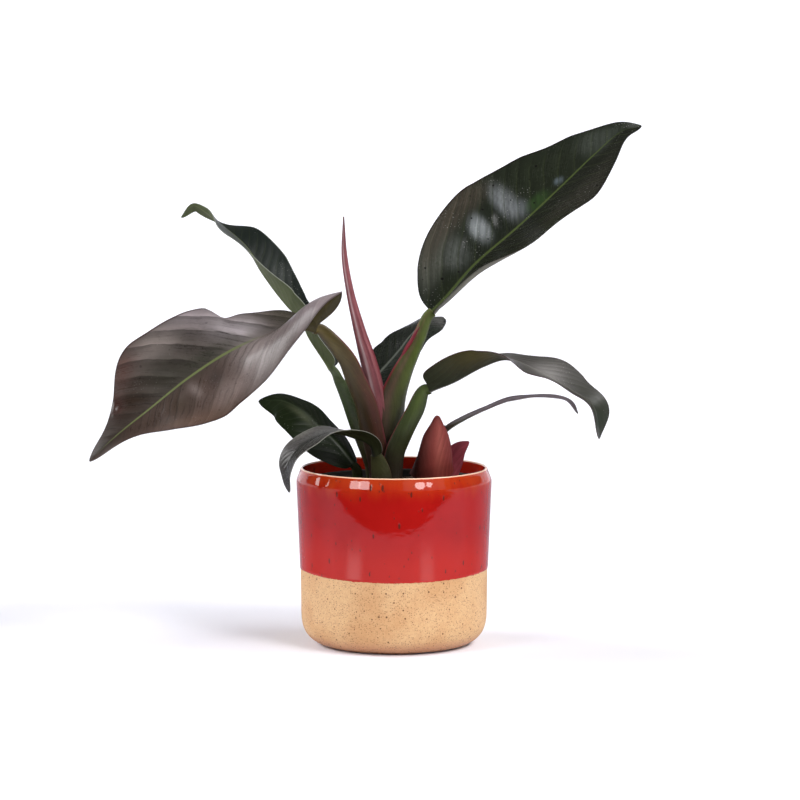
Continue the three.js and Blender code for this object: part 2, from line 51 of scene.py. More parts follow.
cameraView = {
    "place": (4.3, -2800, 473),  # mm, as worked out from the photograph's perspective
    "pitchDown": 6.05,  # degrees
    "focal": 176.5,
}
studio = {
    "floorTone": "#eeeef6",
    "floorRound": 4400,  # mm from the plant to where the floor starts to turn up into the wall
    "wallRound": 700,
    "wallHigh": 1100,
    "airTone": "#ffffff",
    "airStrength": 0.12,
    "paper": {"rough": 0.8, "gloss": 0.1},
    "flagTone": (0.004, 0.004, 0.004),
    "flagCentre": (20, 475),  # mm; a black card that only reflections show has a round near edge about it
    "flagRadius": 918,
    "flagSides": (-600, 640),
    "flagSpread": 62,  # degrees to which its sides open, away from the plant
    "flagLong": 3500,
    "flagLow": 3,  # it lies this far above the floor
    "flagHigh": 1400,  # at its far end it stands up this high
    "sheenUp": 2,
    "sheenReach": (230, 4300),  # the floor as reflections show it, grey at the sides and behind
    "sheenGrey": 0.42,
    "sheenTone": "#ece6f8",
    "sheenTurn": (72, 104),  # degrees from the camera's axis between which it turns grey
    "sheenGlow": [(45, 9, 2.4), (-37, 8, 1.8)],  # light boxes mirrored in it: azimuth, half width, strength
    "sheenGlowReach": (320, 450),  # mm from the plant over which they fade
}
softBoxes = [
    # azimuth left of the camera's axis and height above the floor, in degrees, and how wide the light looks;
    # a Near and a Far box side by side stand for one wide box
    {"name": "backBox", "azimuth": 104, "height": 32, "wide": 32, "power": 1.9},
    {"name": "keyBoxNear", "azimuth": -35.5, "height": 39, "wide": 14, "power": 0.9},
    {"name": "keyBoxFar", "azimuth": -48.5, "height": 39, "wide": 14, "power": 0.9},
    {"name": "sideBox", "azimuth": -85, "height": 50, "wide": 32, "power": 1.6},
    {"name": "smallBoxNear", "azimuth": 39.5, "height": 33, "wide": 12, "power": 0.5},
    {"name": "smallBoxFar", "azimuth": 52.5, "height": 33, "wide": 12, "power": 0.5},
    {"name": "frontFill", "azimuth": -40, "height": 28, "wide": 50, "power": 0.5},
]


def addCamera():
    # a long lens that looks down a little, as in the photograph
    data = bpy.data.cameras.new("productCamera")
    data.sensor_width = 36
    data.lens = cameraView["focal"]
    data.clip_end = 30
    camera = bpy.data.objects.new("productCamera", data)
    camera.location = [v * mm for v in cameraView["place"]]
    camera.rotation_euler = (radians(90 - cameraView["pitchDown"]), 0, 0)
    bpy.context.scene.collection.objects.link(camera)
    bpy.context.scene.camera = camera


def addBox(box):
    # a soft light so far off that it lights the whole floor evenly
    data = bpy.data.lights.new(box["name"], "SUN")
    data.energy = box["power"]
    data.angle = radians(box["wide"])
    light = bpy.data.objects.new(box["name"], data)
    light.rotation_euler = (radians(90 - box["height"]), 0, radians(-box["azimuth"]))
    bpy.context.scene.collection.objects.link(light)


# Node helpers

def newMaterial(name):
    # a new material, its node tree and its one shader
    material = bpy.data.materials.new(name)
    material.use_nodes = True
    return material, material.node_tree, material.node_tree.nodes["Principled BSDF"]


def put(tree, socket, value):
    # a link where the value comes from a node, or else a fixed value
    if hasattr(value, "links"):
        tree.links.new(value, socket)
    else:
        socket.default_value = value


def math(tree, operation, first, second=0.0, third=0.0, clamp=False):
    # one step of arithmetic on links or numbers
    step = tree.nodes.new("ShaderNodeMath")
    step.operation = operation
    step.use_clamp = clamp
    for socket, value in zip(step.inputs, (first, second, third)):
        put(tree, socket, value)
    return step.outputs[0]


def times(tree, first, second, clamp=False):
    return math(tree, "MULTIPLY", first, second, clamp=clamp)


def plus(tree, first, second):
    return math(tree, "ADD", first, second)


def minus(tree, first, second):
    return math(tree, "SUBTRACT", first, second)


def mixTone(tree, share, first, second, kind="MIX"):
    # from the first colour at a share of 0 to the second at 1
    mix = tree.nodes.new("ShaderNodeMix")
    mix.data_type = "RGBA"
    mix.blend_type = kind
    put(tree, mix.inputs[0], share)
    for socket, value in ((mix.inputs[6], first), (mix.inputs[7], second)):
        put(tree, socket, value if hasattr(value, "links") else (*value, 1))
    return mix.outputs[2]


def ramp(tree, value, low, high):
    # 0 below low, 1 above high, smooth between; low may be the larger
    step = tree.nodes.new("ShaderNodeMapRange")
    step.interpolation_type = "SMOOTHSTEP"
    put(tree, step.inputs["Value"], value)
    step.inputs["From Min"].default_value = low
    step.inputs["From Max"].default_value = high
    return step.outputs[0]


def attribute(tree, name, output="Vector"):
    # a value that the mesh carries at each of its points
    step = tree.nodes.new("ShaderNodeAttribute")
    step.attribute_name = name
    return step.outputs[output]


def parts(tree, vector):
    step = tree.nodes.new("ShaderNodeSeparateXYZ")
    tree.links.new(vector, step.inputs[0])
    return step.outputs


def joined(tree, x, y, z=0.0):
    step = tree.nodes.new("ShaderNodeCombineXYZ")
    for socket, value in zip(step.inputs, (x, y, z)):
        put(tree, socket, value)
    return step.outputs[0]


def noise(tree, vector, scale, detail=3.0, rough=0.5):
    # soft clouds from 0 to 1, about 0.5 in the middle
    step = tree.nodes.new("ShaderNodeTexNoise")
    put(tree, step.inputs["Vector"], vector)
    step.inputs["Scale"].default_value = scale
    step.inputs["Detail"].default_value = detail
    step.inputs["Roughness"].default_value = rough
    return step.outputs[0]


def dots(tree, vector, scale):
    # the distance to the middle of the nearest cell
    step = tree.nodes.new("ShaderNodeTexVoronoi")
    put(tree, step.inputs["Vector"], vector)
    step.inputs["Scale"].default_value = scale
    return step.outputs["Distance"]


def marks(tree, place, scale, share, size, stretch=1.0):
    # spots on a flat plane: one in each cell of the given share of cells, of varying size
    step = tree.nodes.new("ShaderNodeTexVoronoi")
    step.voronoi_dimensions = "2D"
    step.inputs["Scale"].default_value = scale
    u, v, _ = parts(tree, place)
    put(tree, step.inputs["Vector"], joined(tree, u, times(tree, v, 1 / stretch)))
    chance, scatter, _ = parts(tree, step.outputs["Color"])
    reach = math(tree, "MULTIPLY_ADD", scatter, size * 0.8, size * 0.4)
    near = math(tree, "DIVIDE", step.outputs["Distance"], reach)
    return times(tree, ramp(tree, near, 1.25, 0.75), math(tree, "LESS_THAN", chance, share))


def bump(tree, shader, height, distance, strength=1.0):
    # fine relief in the shading alone
    step = tree.nodes.new("ShaderNodeBump")
    step.inputs["Strength"].default_value = strength
    step.inputs["Distance"].default_value = distance
    tree.links.new(height, step.inputs["Height"])
    tree.links.new(step.outputs[0], shader.inputs["Normal"])


def objectPlace(tree):
    return tree.nodes.new("ShaderNodeTexCoord").outputs["Object"]


# Shape helpers

def blend(values, share):
    # a smooth curve through evenly spaced values, read at a share from 0 to 1
    v = np.asarray(values, float)
    if v.ndim == 0 or len(v) == 1:
        return np.full(np.shape(share), float(v.ravel()[0]))
    place = np.clip(share, 0, 1) * (len(v) - 1)
    index = np.minimum(place.astype(int), len(v) - 2)
    f = place - index
    e = np.concatenate([[2 * v[0] - v[1]], v, [2 * v[-1] - v[-2]]])
    a, b, c, d = e[index], e[index + 1], e[index + 2], e[index + 3]
    return 0.5 * (2 * b + (c - a) * f + (2 * a - 5 * b + 4 * c - d) * f**2 + (3 * b - a - 3 * c + d) * f**3)


def smoothStep(low, high, value):
    # 0 below low, 1 above high, and f^2 (3-2f) at the share f between them
    f = np.clip((value - low) / (high - low), 0, 1)
    return f * f * (3 - 2 * f)


def curveThrough(points, count):
    # centripetal curve through the points, then count samples evenly by length
    p = np.asarray(points, float)
    ends = np.vstack([2 * p[0] - p[1], p, 2 * p[-1] - p[-2]])
    share = np.linspace(0, 1, 60, endpoint=False)[:, None]
    pieces = []
    for before, start, end, after in zip(ends, ends[1:], ends[2:], ends[3:]):
        d0, d1, d2 = (
            np.sqrt(np.linalg.norm(b - a)) for a, b in ((before, start), (start, end), (end, after))
        )
        leave = ((start - before) / d0 - (end - before) / (d0 + d1) + (end - start) / d1) * d1
        arrive = ((end - start) / d1 - (after - start) / (d1 + d2) + (after - end) / d2) * d1
        square = (3 * (end - start) - 2 * leave - arrive) * share**2
        cube = (2 * (start - end) + leave + arrive) * share**3
        pieces.append(start + leave * share + square + cube)
    fine = np.vstack(pieces + [p[-1:]])
    run = np.concatenate([[0], np.cumsum(np.linalg.norm(np.diff(fine, axis=0), axis=1))])
    at = np.linspace(0, run[-1], count)
    return np.stack([np.interp(at, run, fine[:, k]) for k in range(3)], 1), run[-1]


def guideThrough(points, faces, count=361):
    # a centre line with its frame: along it, across it, and the way its face looks
    spine, length = curveThrough(points, count)
    along = np.gradient(spine, axis=0)
    along /= np.linalg.norm(along, axis=1, keepdims=True)
    f = np.asarray(faces, float)
    share = np.linspace(0, 1, count)
    face = np.stack([blend(f[:, k], share) for k in range(3)], 1)
    face -= np.sum(face * along, 1, keepdims=True) * along
    face /= np.linalg.norm(face, axis=1, keepdims=True)
    return {"spine": spine, "along": along, "across": np.cross(along, face), "face": face, "length": length}


def readGuide(guide, distance):
    # the frame at each distance, running straight on past both ends
    u = np.clip(distance / guide["length"], 0, 1)
    place = u * (len(guide["spine"]) - 1)
    index = np.arange(len(guide["spine"]))
    read = {}
    for key in ("spine", "along", "across", "face"):
        read[key] = np.stack([np.interp(place, index, guide[key][:, k]) for k in range(3)], -1)
    read["spine"] = read["spine"] + read["along"] * (distance - u * guide["length"])[..., None]
    return u, read


def gridQuads(rows, columns, start=0, around=False):
    # quads between the points of a grid that is rows by columns; around closes each row on itself
    a = np.arange(rows * columns).reshape(rows, columns) + start
    b = np.roll(a, -1, 1) if around else a[:, 1:]
    a = a if around else a[:, :-1]
    return np.stack([a[:-1], b[:-1], b[1:], a[1:]], -1).reshape(-1, 4)


def closingFans(rows, around, count):
    # triangles that close the first and last ring of a grid onto the last two of its count points
    ring = np.arange(around)
    last = (rows - 1) * around + ring
    return np.concatenate([
        np.stack([np.full(around, count - 2), np.roll(ring, -1), ring], -1),
        np.stack([np.full(around, count - 1), last, np.roll(last, -1)], -1),
    ])


def addMesh(name, points, quads, triangles=None, attributes=None):
    # one mesh from whole arrays, turned so that its faces look outwards
    triangles = np.zeros((0, 3), int) if triangles is None else np.asarray(triangles)
    fans = np.concatenate([quads[:, [0, 1, 2]], quads[:, [0, 2, 3]], triangles])
    corner = points[fans]
    volume = np.sum(corner[:, 0] * np.cross(corner[:, 1], corner[:, 2]))
    if volume < 0:
        quads = quads[:, ::-1]
        triangles = triangles[:, ::-1]
    mesh = bpy.data.meshes.new(name)
    mesh.vertices.add(len(points))
    mesh.vertices.foreach_set("co", (points * mm).astype(np.float32).ravel())
    loops = np.concatenate([quads.ravel(), triangles.ravel()]).astype(np.int32)
    mesh.loops.add(len(loops))
    mesh.loops.foreach_set("vertex_index", loops)
    sizes = np.concatenate([np.full(len(quads), 4), np.full(len(triangles), 3)])
    mesh.polygons.add(len(sizes))
    mesh.polygons.foreach_set("loop_start", np.concatenate([[0], np.cumsum(sizes)[:-1]]).astype(np.int32))
    mesh.polygons.foreach_set("use_smooth", np.ones(len(sizes), bool))
    for key, values in (attributes or {}).items():
        if values.ndim == 1:
            mesh.attributes.new(key, "FLOAT", "POINT").data.foreach_set("value", values.astype(np.float32))
        else:
            layer = mesh.attributes.new(key, "FLOAT_VECTOR", "POINT")
            layer.data.foreach_set("vector", values.astype(np.float32).ravel())
    mesh.update(calc_edges=True)
    mesh.validate()
    piece = bpy.data.objects.new(name, mesh)
    bpy.context.scene.collection.objects.link(piece)
    return piece


def settle(piece, material, slot, *nodes):
    # finish, ride on the plant's one body, and stand for its nodes
    piece.data.materials.append(material)
    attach(piece, "root")
    if nodes:
        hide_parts(*nodes)
    return piece


def paint(base, patches, share, half, crisp=1, streak=0):
    # broad patches of colour over a base tone, each at a share along and a place across; on the leaves many
    # of them are painted sheen, painted highlights and painted shade. A higher crisp gives them a firmer
    # edge, and streak varies their strength
    tone = base
    for at, across, reachAlong, reachAcross, colour, strength in patches:
        far = ((share - at) / reachAlong) ** 2 + ((half - across) / reachAcross) ** 2
        near = np.clip(strength * np.exp(-(far**crisp)) * (1 + streak), 0, 1)
        tone = tone + (toneOf(colour) - tone) * near[..., None]
    return tone


# Blades

def bladeSheet(leaf, rows, halfColumns):
    # A point lies at a share t of the rib's length and at s across, from -1 to 1. The half width follows
    # t^rise (1-t)^taper, and a neck widens the base. The section starts at the fold's slope, rounded off at
    # the rib, and turns by the curl towards the edge; the wave and the relief lift it along its normal.
    guide = guideThrough(leaf["rib"], leaf["face"])
    even = np.linspace(0, 1, rows + 1)
    t = even - 0.025 * np.sin(2 * np.pi * even)
    s = np.sin(np.linspace(-1, 1, 2 * halfColumns + 1) * np.pi / 2) * 0.5
    s += np.linspace(-1, 1, 2 * halfColumns + 1) * 0.5
    t, s = np.meshgrid(t, s, indexing="ij")
    left = s < 0
    reach = np.abs(s)
    sides = (leaf["left"], leaf["right"])

    def ofSide(key, place):
        return np.where(left, blend(sides[0][key], place), blend(sides[1][key], place))

    rise, taper = leaf["rise"], leaf["taper"]
    peak = (rise / (rise + taper)) ** rise * (taper / (rise + taper)) ** taper
    width = leaf["width"] * t**rise * (1 - t) ** taper / peak * ofSide("size", t)
    for side, here in zip(sides, (left, ~left)):  # a notch that falls slowly and rises again at once
        if "nick" in side:
            nickAt, before, after, depth = side["nick"]
            wide = np.where(t < nickAt, before, after)
            width = width * np.where(here, 1 - depth * np.exp(-(((t - nickAt) / wide) ** 2)), 1)
    width = width + leaf["neck"] * (1 - t) ** 12 + 0.4
    lobeAt, lobeShape = leaf["lobeAt"], leaf["lobeShape"]
    back = np.where(left, sides[0]["lobe"], sides[1]["lobe"])
    back = back * ((t / lobeAt) * np.exp(1 - t / lobeAt)) ** lobeShape
    forward = 0.3 * width * np.minimum(3 * t, 1) * (1 - t)
    distance = t * guide["length"] + reach**2 * (forward - back)
    place, at = readGuide(guide, distance)
    fold, curl = np.radians(ofSide("fold", place)), np.radians(ofSide("curl", place))
    out, up = np.zeros_like(t), np.zeros_like(t)
    steps = 16
    for k in range(steps):  # the section, followed outwards from the rib
        share = (k + 0.5) / steps
        rounding = 1 - np.exp(-share * width * reach / 1.5)
        slope = rounding * (fold + curl * (share * reach) ** 2)
        out += width * reach / steps * np.cos(slope)
        up += width * reach / steps * np.sin(slope)
    count, height, phase = leaf["wave"]
    turn = 2 * np.pi * (count * t + phase) + np.where(left, 1.3, 0)
    lift = height * np.sin(turn) * reach**2.5 * np.sin(np.pi * t)
    vein = veinCount(leaf, s, distance, width * reach)
    lift = lift + relief(leaf, t, s, vein)
    sign = np.where(left, -1.0, 1.0)
    point = at["spine"] + at["across"] * (sign * (out - lift * np.sin(slope)))[..., None]
    point = point + at["face"] * (up + lift * np.cos(slope))[..., None]
    lean = np.where(reach == 0, 0, slope)
    upper = at["face"] * np.cos(lean)[..., None] - at["across"] * (sign * np.sin(lean))[..., None]
    return point, upper, t, s, width, distance, vein


def veinCount(leaf, s, distance, fromRib):
    # side veins leave the rib unevenly spaced, run forwards and bend towards the tip near the margin
    lean = leaf["sweep"] * fromRib * (1 + 0.25 * s**2)
    uneven = 0.22 * leaf["veinGap"] * np.sin(distance / (1.3 * leaf["veinGap"]) + np.where(s < 0, 1.3, 2.9))
    return (distance - lean + uneven) / leaf["veinGap"]


def relief(leaf, t, s, vein):
    # pillows between the side veins, as the size of a sine of the vein count, that fade at the rib, the
    # margin and both ends; and single round bumps
    reach = np.abs(s)
    pillow = np.abs(np.sin(np.pi * vein)) ** 0.9 - 0.6
    inside = smoothStep(0.02, 0.3, reach) * (1 - reach**3) * np.sin(np.pi * np.clip(t, 0.01, 0.99)) ** 0.5
    height = np.where(s < 0, leaf["pillow"][0], leaf["pillow"][1]) * blend(leaf["pillowAlong"], t)
    lift = height * pillow * inside
    for at, across, reachAlong, reachAcross, rise in leaf["bumps"]:
        lift = lift + rise * np.exp(-(((t - at) / reachAlong) ** 2) - ((s - across) / reachAcross) ** 2)
    return lift


def addBlade(name, leaf, material, slot, node, rows=150, halfColumns=34):
    # the sheet's two faces, set apart along its normal by the thickness and joined round the margin
    point, upper, t, s, width, distance, vein = bladeSheet(leaf, rows, halfColumns)
    fromRib = width * np.abs(s)
    # half the thickness grows from the margin to the rib; the rib is a ridge in a groove above, a keel below
    plain = leaf["edge"] / 2 + 0.2 * (1 - s**2) * (1 - t)
    ridge = 0.3 * np.exp(-((fromRib / 0.7) ** 2)) - 0.35 * np.exp(-((fromRib / 2.4) ** 2))
    ridge = ridge * smoothStep(0, 0.08, t) * (1 - t)
    keel = (2 * np.exp(-t / 0.06) + 1.2 * (1 - t)) * np.exp(-((fromRib / 2.2) ** 2)) * leaf["keelShare"]
    top = point + upper * (plain + ridge)[..., None]
    under = point - upper * (plain + keel)[..., None]
    count = top[..., 0].size
    quads = gridQuads(*t.shape)
    order = np.arange(count).reshape(t.shape)
    border = np.concatenate([order[0, :-1], order[:-1, -1], order[-1, :0:-1], order[:0:-1, 0]])
    after = np.roll(border, -1)
    rim = np.stack([border, border + count, after + count, after], -1)
    quads = np.concatenate([quads, quads[:, ::-1] + count, rim[:, ::-1]])
    share = smoothStep(-0.06, 0.06, s)[..., None]
    upperTone = toneOf(leaf["upperLeft"]) * (1 - share) + toneOf(leaf["upperRight"]) * share
    streak = np.sin(15 * vein + 1) + 0.7 * np.sin(34 * vein + 3 * s) + 0.5 * np.sin(63 * vein)
    upperTone = paint(upperTone, leaf["patches"], t, s, leaf["crisp"], leaf["streaky"] * streak)
    underTone = paint(np.broadcast_to(toneOf(leaf["under"]), upperTone.shape), leaf["underPatches"], t, s)
    across = fromRib * np.sign(s)
    place = np.stack([distance, across, np.abs(s)], -1).reshape(-1, 3)
    attributes = {
        "tint": np.concatenate([upperTone.reshape(-1, 3), underTone.reshape(-1, 3)]),
        "place": np.concatenate([place, place]),
        "share": np.tile(t.ravel(), 2),
        "vein": np.tile(vein.ravel(), 2),
        "upper": np.repeat([1.0, 0.0], count),
    }
    points = np.concatenate([top.reshape(-1, 3), under.reshape(-1, 3)])
    piece = addMesh(name, points, quads, attributes=attributes)
    print("blade", name, len(quads), "faces")
    return settle(piece, material, slot, node)


def bladeMaterial(name, leaf):
    # colour from the painted tones, with side veins, painted shade behind each vein that rises to a painted
    # highlight before the next, painted shade in the fine creases between them, rib, margin, streaks along
    # the veins, pale specks and dark spots
    material, tree, shader = newMaterial(name)
    tint, share = attribute(tree, "tint"), attribute(tree, "share", "Fac")
    upper, vein = attribute(tree, "upper", "Fac"), attribute(tree, "vein", "Fac")
    along, across, reach = parts(tree, attribute(tree, "place"))
    place = objectPlace(tree)
    fromRib = math(tree, "ABSOLUTE", across)
    warp = times(tree, minus(tree, noise(tree, place, 60, 2), 0.5), 0.35)
    count = plus(tree, vein, warp)
    cell = math(tree, "FRACT", count)
    nearVein = minus(tree, 0.5, math(tree, "ABSOLUTE", minus(tree, cell, 0.5)))
    veinLine = times(tree, ramp(tree, nearVein, 0.09, 0.0), ramp(tree, reach, 0.97, 0.6))
    run = times(tree, count, leaf["veinGap"])
    streak = noise(tree, joined(tree, run, times(tree, fromRib, 0.06)), 1.1, 5, 0.65)
    blotch = noise(tree, place, 38, 5, 0.6)
    fine = noise(tree, place, 420, 3, 0.6)
    change = plus(tree, times(tree, streak, 0.9), times(tree, blotch, 0.8))
    change = plus(tree, change, times(tree, fine, 0.35))
    change = minus(tree, change, 1.02)
    gain = math(tree, "MULTIPLY_ADD", change, leaf["mottle"], 1.0)
    # painted shade behind each side vein that rises to a painted highlight before the next, as light from
    # above falls on the pillows
    pleatHighlight = times(tree, math(tree, "POWER", cell, 1.4), ramp(tree, cell, 1.0, 0.93))
    leftPleatShading, rightPleatShading = leaf["pleatShading"]
    rightSide = math(tree, "GREATER_THAN", across, 0.0)
    paintedPleatShading = math(tree, "MULTIPLY_ADD", rightSide, rightPleatShading - leftPleatShading, leftPleatShading)
    paintedPleatShading = times(tree, paintedPleatShading, times(tree, ramp(tree, reach, 0.02, 0.3), ramp(tree, share, 0.95, 0.6)))
    paintedPleatShading = times(tree, paintedPleatShading, minus(tree, pleatHighlight, 0.35))
    broken = ramp(tree, noise(tree, place, 55, 2), 0.3, 0.6)
    paintedPleatShading = times(tree, paintedPleatShading, math(tree, "MULTIPLY_ADD", broken, 0.8, 0.4))
    # fine creases between the side veins: painted shade in the colour, and dents in the bump
    wander = times(tree, minus(tree, noise(tree, place, 75, 2), 0.5), 1.2)
    creaseCell = math(tree, "FRACT", plus(tree, times(tree, vein, 2.6), wander))
    creaseShadeAndDent = minus(tree, 0.5, math(tree, "ABSOLUTE", minus(tree, creaseCell, 0.5)))
    creaseShadeAndDent = times(tree, ramp(tree, creaseShadeAndDent, 0.2, 0.0), ramp(tree, reach, 1.0, 0.6))
    creaseShadeAndDent = times(tree, creaseShadeAndDent, ramp(tree, noise(tree, place, 48, 2), 0.42, 0.6))
    creaseShadeAndDent = times(tree, creaseShadeAndDent, leaf["creaseShadeAndDepth"])
    gain = minus(tree, plus(tree, gain, paintedPleatShading), creaseShadeAndDent)
    tone = mixTone(tree, 1.0, tint, joined(tree, gain, gain, gain), "MULTIPLY")
    veinShare = times(tree, veinLine, leaf["veinStrength"])
    tone = mixTone(tree, veinShare, tone, toneOf(leaf["veinTone"]))
    ribWidth = math(tree, "MULTIPLY_ADD", share, -leaf["ribWidth"] * 0.75, leaf["ribWidth"])
    ribShare = ramp(tree, math(tree, "DIVIDE", fromRib, ribWidth), 1.15, 0.35)
    ribShare = times(tree, ribShare, ramp(tree, share, 1.0, 0.75))
    ribShare = times(tree, ribShare, ramp(tree, share, leaf["ribFrom"] - 0.12, leaf["ribFrom"] + 0.08))
    patchy = math(tree, "MULTIPLY_ADD", blotch, 0.6, leaf["ribShow"] - 0.2)
    ribShare = times(tree, ribShare, patchy, clamp=True)
    tone = mixTone(tree, ribShare, tone, toneOf(leaf["ribTone"]))
    margin = times(tree, ramp(tree, reach, 0.965, 0.99), leaf["marginShow"])
    tone = mixTone(tree, margin, tone, toneOf(leaf["marginTone"]))
    flat = joined(tree, along, across)
    specks = marks(tree, flat, scale=0.55, share=0.3, size=0.16)
    speckPlace = ramp(tree, noise(tree, place, 45, 2), 0.5, 0.62)
    whiteSpecks = times(tree, times(tree, specks, speckPlace), upper)
    tone = mixTone(tree, times(tree, whiteSpecks, leaf["specks"]), tone, toneOf(leaf["speckTone"]))
    spots = marks(tree, flat, scale=0.09, share=0.25, size=0.08)
    tone = mixTone(tree, times(tree, spots, leaf["spots"]), tone, toneOf(leaf["spotTone"]))
    tree.links.new(tone, shader.inputs["Base Color"])
    wear = math(tree, "MULTIPLY_ADD", change, 0.2, leaf["rough"])
    rough = plus(tree, wear, times(tree, minus(tree, 1.0, upper), 0.16))
    tree.links.new(rough, shader.inputs["Roughness"])
    shader.inputs["Specular IOR Level"].default_value = leaf["gloss"]
    height = plus(tree, times(tree, streak, 0.5), times(tree, fine, 0.35))
    height = minus(tree, height, times(tree, veinLine, 0.35))
    height = minus(tree, height, times(tree, creaseShadeAndDent, 3.0))
    bump(tree, shader, height, 0.09 * mm, 0.7)
    return material


plainLeaf = {
    # what the leaves share unless one says otherwise
    "lobeAt": 0.08,  # the share of the rib where the basal lobes reach furthest back
    "lobeShape": 1,
    "sweep": 0.95,  # how far the side veins lean towards the tip
    "veinGap": 9.0,  # mm between side veins along the rib
    "pillow": (0.25, 0.25),  # mm, left and right half
    "pillowAlong": [1],  # how strong the pillows are from base to tip
    "bumps": [],  # share along, place across, their two reaches, and mm of height
    "edge": 0.5,  # mm thick at the margin
    "keelShare": 1,  # how far the rib stands out below
    "rough": 0.28,
    "gloss": 0.25,
    "mottle": 0.6,
    "veinTone": "#343a26",
    "veinStrength": 0.3,
    "pleatShading": (0, 0),  # how much painted shade falls behind each side vein, rising to a painted highlight before the next, left and right
    "creaseShadeAndDepth": 0,  # how dark the painted shade in the fine creases between the side veins is; it also sets how deep they are in the bump
    "ribWidth": 1.5,
    "ribFrom": -1,  # the share of the rib from which it is green
    "ribTone": "#3c4720",
    "ribShow": 0.6,
    "marginTone": "#170e0b",
    "marginShow": 0.7,
    "specks": 0.25,
    "speckTone": "#a3a29e",
    "spots": 0.3,
    "spotTone": "#080706",
    # on the leaves many of these patches are painted sheen, painted highlights and painted shade
    "patches": [],  # share along, place across, their two reaches, tone and strength
    "crisp": 1,  # how firm the edges of the patches are
    "streaky": 0,  # how much the patches are streaked along the side veins
    "underPatches": [],
    "under": "#34341f",
}

tallLeaf = {
    **plainLeaf,
    "rib": [
        (27, 8, 239), (37, 11, 249), (58, 20, 272), (91, 30, 300),
        (120, 44, 326), (146, 57, 350), (166, 68, 366), (181, 75, 370),
    ],
    "face": [(-0.35, -0.85, 0.4), (-0.35, -0.85, 0.4), (-0.2, -0.8, 0.5)],
    "width": 44, "rise": 0.55, "taper": 0.75, "neck": 2, "wave": (2.5, 1.2, 0.1),
    "left": {
        "lobe": 4, "fold": [20, 12, 8, 5, 5, 8, 10], "curl": [0],
        "size": [1, 1.08, 1.17, 1.18, 1.1, 1.04, 0.98, 0.82, 0.74, 0.6, 0.5],
    },
    "right": {
        "lobe": 2, "fold": [50, 42, 36, 34, 28, 22, 20], "curl": [40, 40, 10, 0, 0],
        "size": [1, 1, 1.08, 1.12, 1.05, 1.05, 1, 0.88, 0.74, 0.55, 0.5],
    },
    "pillow": (0.55, 0.4), "veinGap": 15, "pillowAlong": [0.3, 0.9, 0.8, 0.25, 0.1],
    "bumps": [
        (0.27, -0.35, 0.05, 0.2, 1.6), (0.42, -0.35, 0.045, 0.2, 1.5), (0.35, -0.35, 0.02, 0.25, -0.7),
        (0.2, -0.2, 0.03, 0.15, 0.8),
    ],
    "gloss": 0.2, "rough": 0.26, "mottle": 0.42, "pleatShading": (0.45, 0.1), "crisp": 1.8, "streaky": 0.22,
    "creaseShadeAndDepth": 0.1,
    "upperLeft": "#1a1e16", "upperRight": "#171912",
    # the grey patches are painted sheen highlights on the pillows and at the tip, with a pale painted edge
    # highlight near the base; the near-black ones are painted shade between them; the brown and green ones
    # are the leaf's own tone
    "patches": [
        (0.14, -0.75, 0.1, 0.35, "#42433c", 0.8),
        (0.08, 0.0, 0.07, 0.3, "#1c2114", 0.8),
        (0.27, -0.85, 0.16, 0.22, "#3d372f", 0.7),
        (0.2, -0.35, 0.045, 0.25, "#484b47", 0.6),
        (0.31, -0.36, 0.032, 0.22, "#777b7c", 0.85),
        (0.445, -0.44, 0.042, 0.34, "#6d7072", 0.75),
        (0.475, -0.22, 0.03, 0.14, "#606467", 0.6),
        (0.375, -0.3, 0.022, 0.3, "#161a13", 0.8),
        (0.62, -0.5, 0.16, 0.5, "#1c2016", 0.7),
        (0.53, -0.1, 0.05, 0.12, "#283a1e", 0.8),
        (0.635, -0.13, 0.018, 0.07, "#4d565a", 0.7),
        (0.84, -0.35, 0.08, 0.5, "#3a3e38", 0.6),
        (0.55, 0.75, 0.25, 0.35, "#2c2a24", 0.6),
        (0.05, 0.98, 0.07, 0.06, "#a2a594", 0.9),
    ],
    "ribTone": "#444f2a", "ribShow": 0.75, "ribWidth": 1.6,
    "specks": 0.4, "spots": 0.9, "under": "#6c6b5a",
}
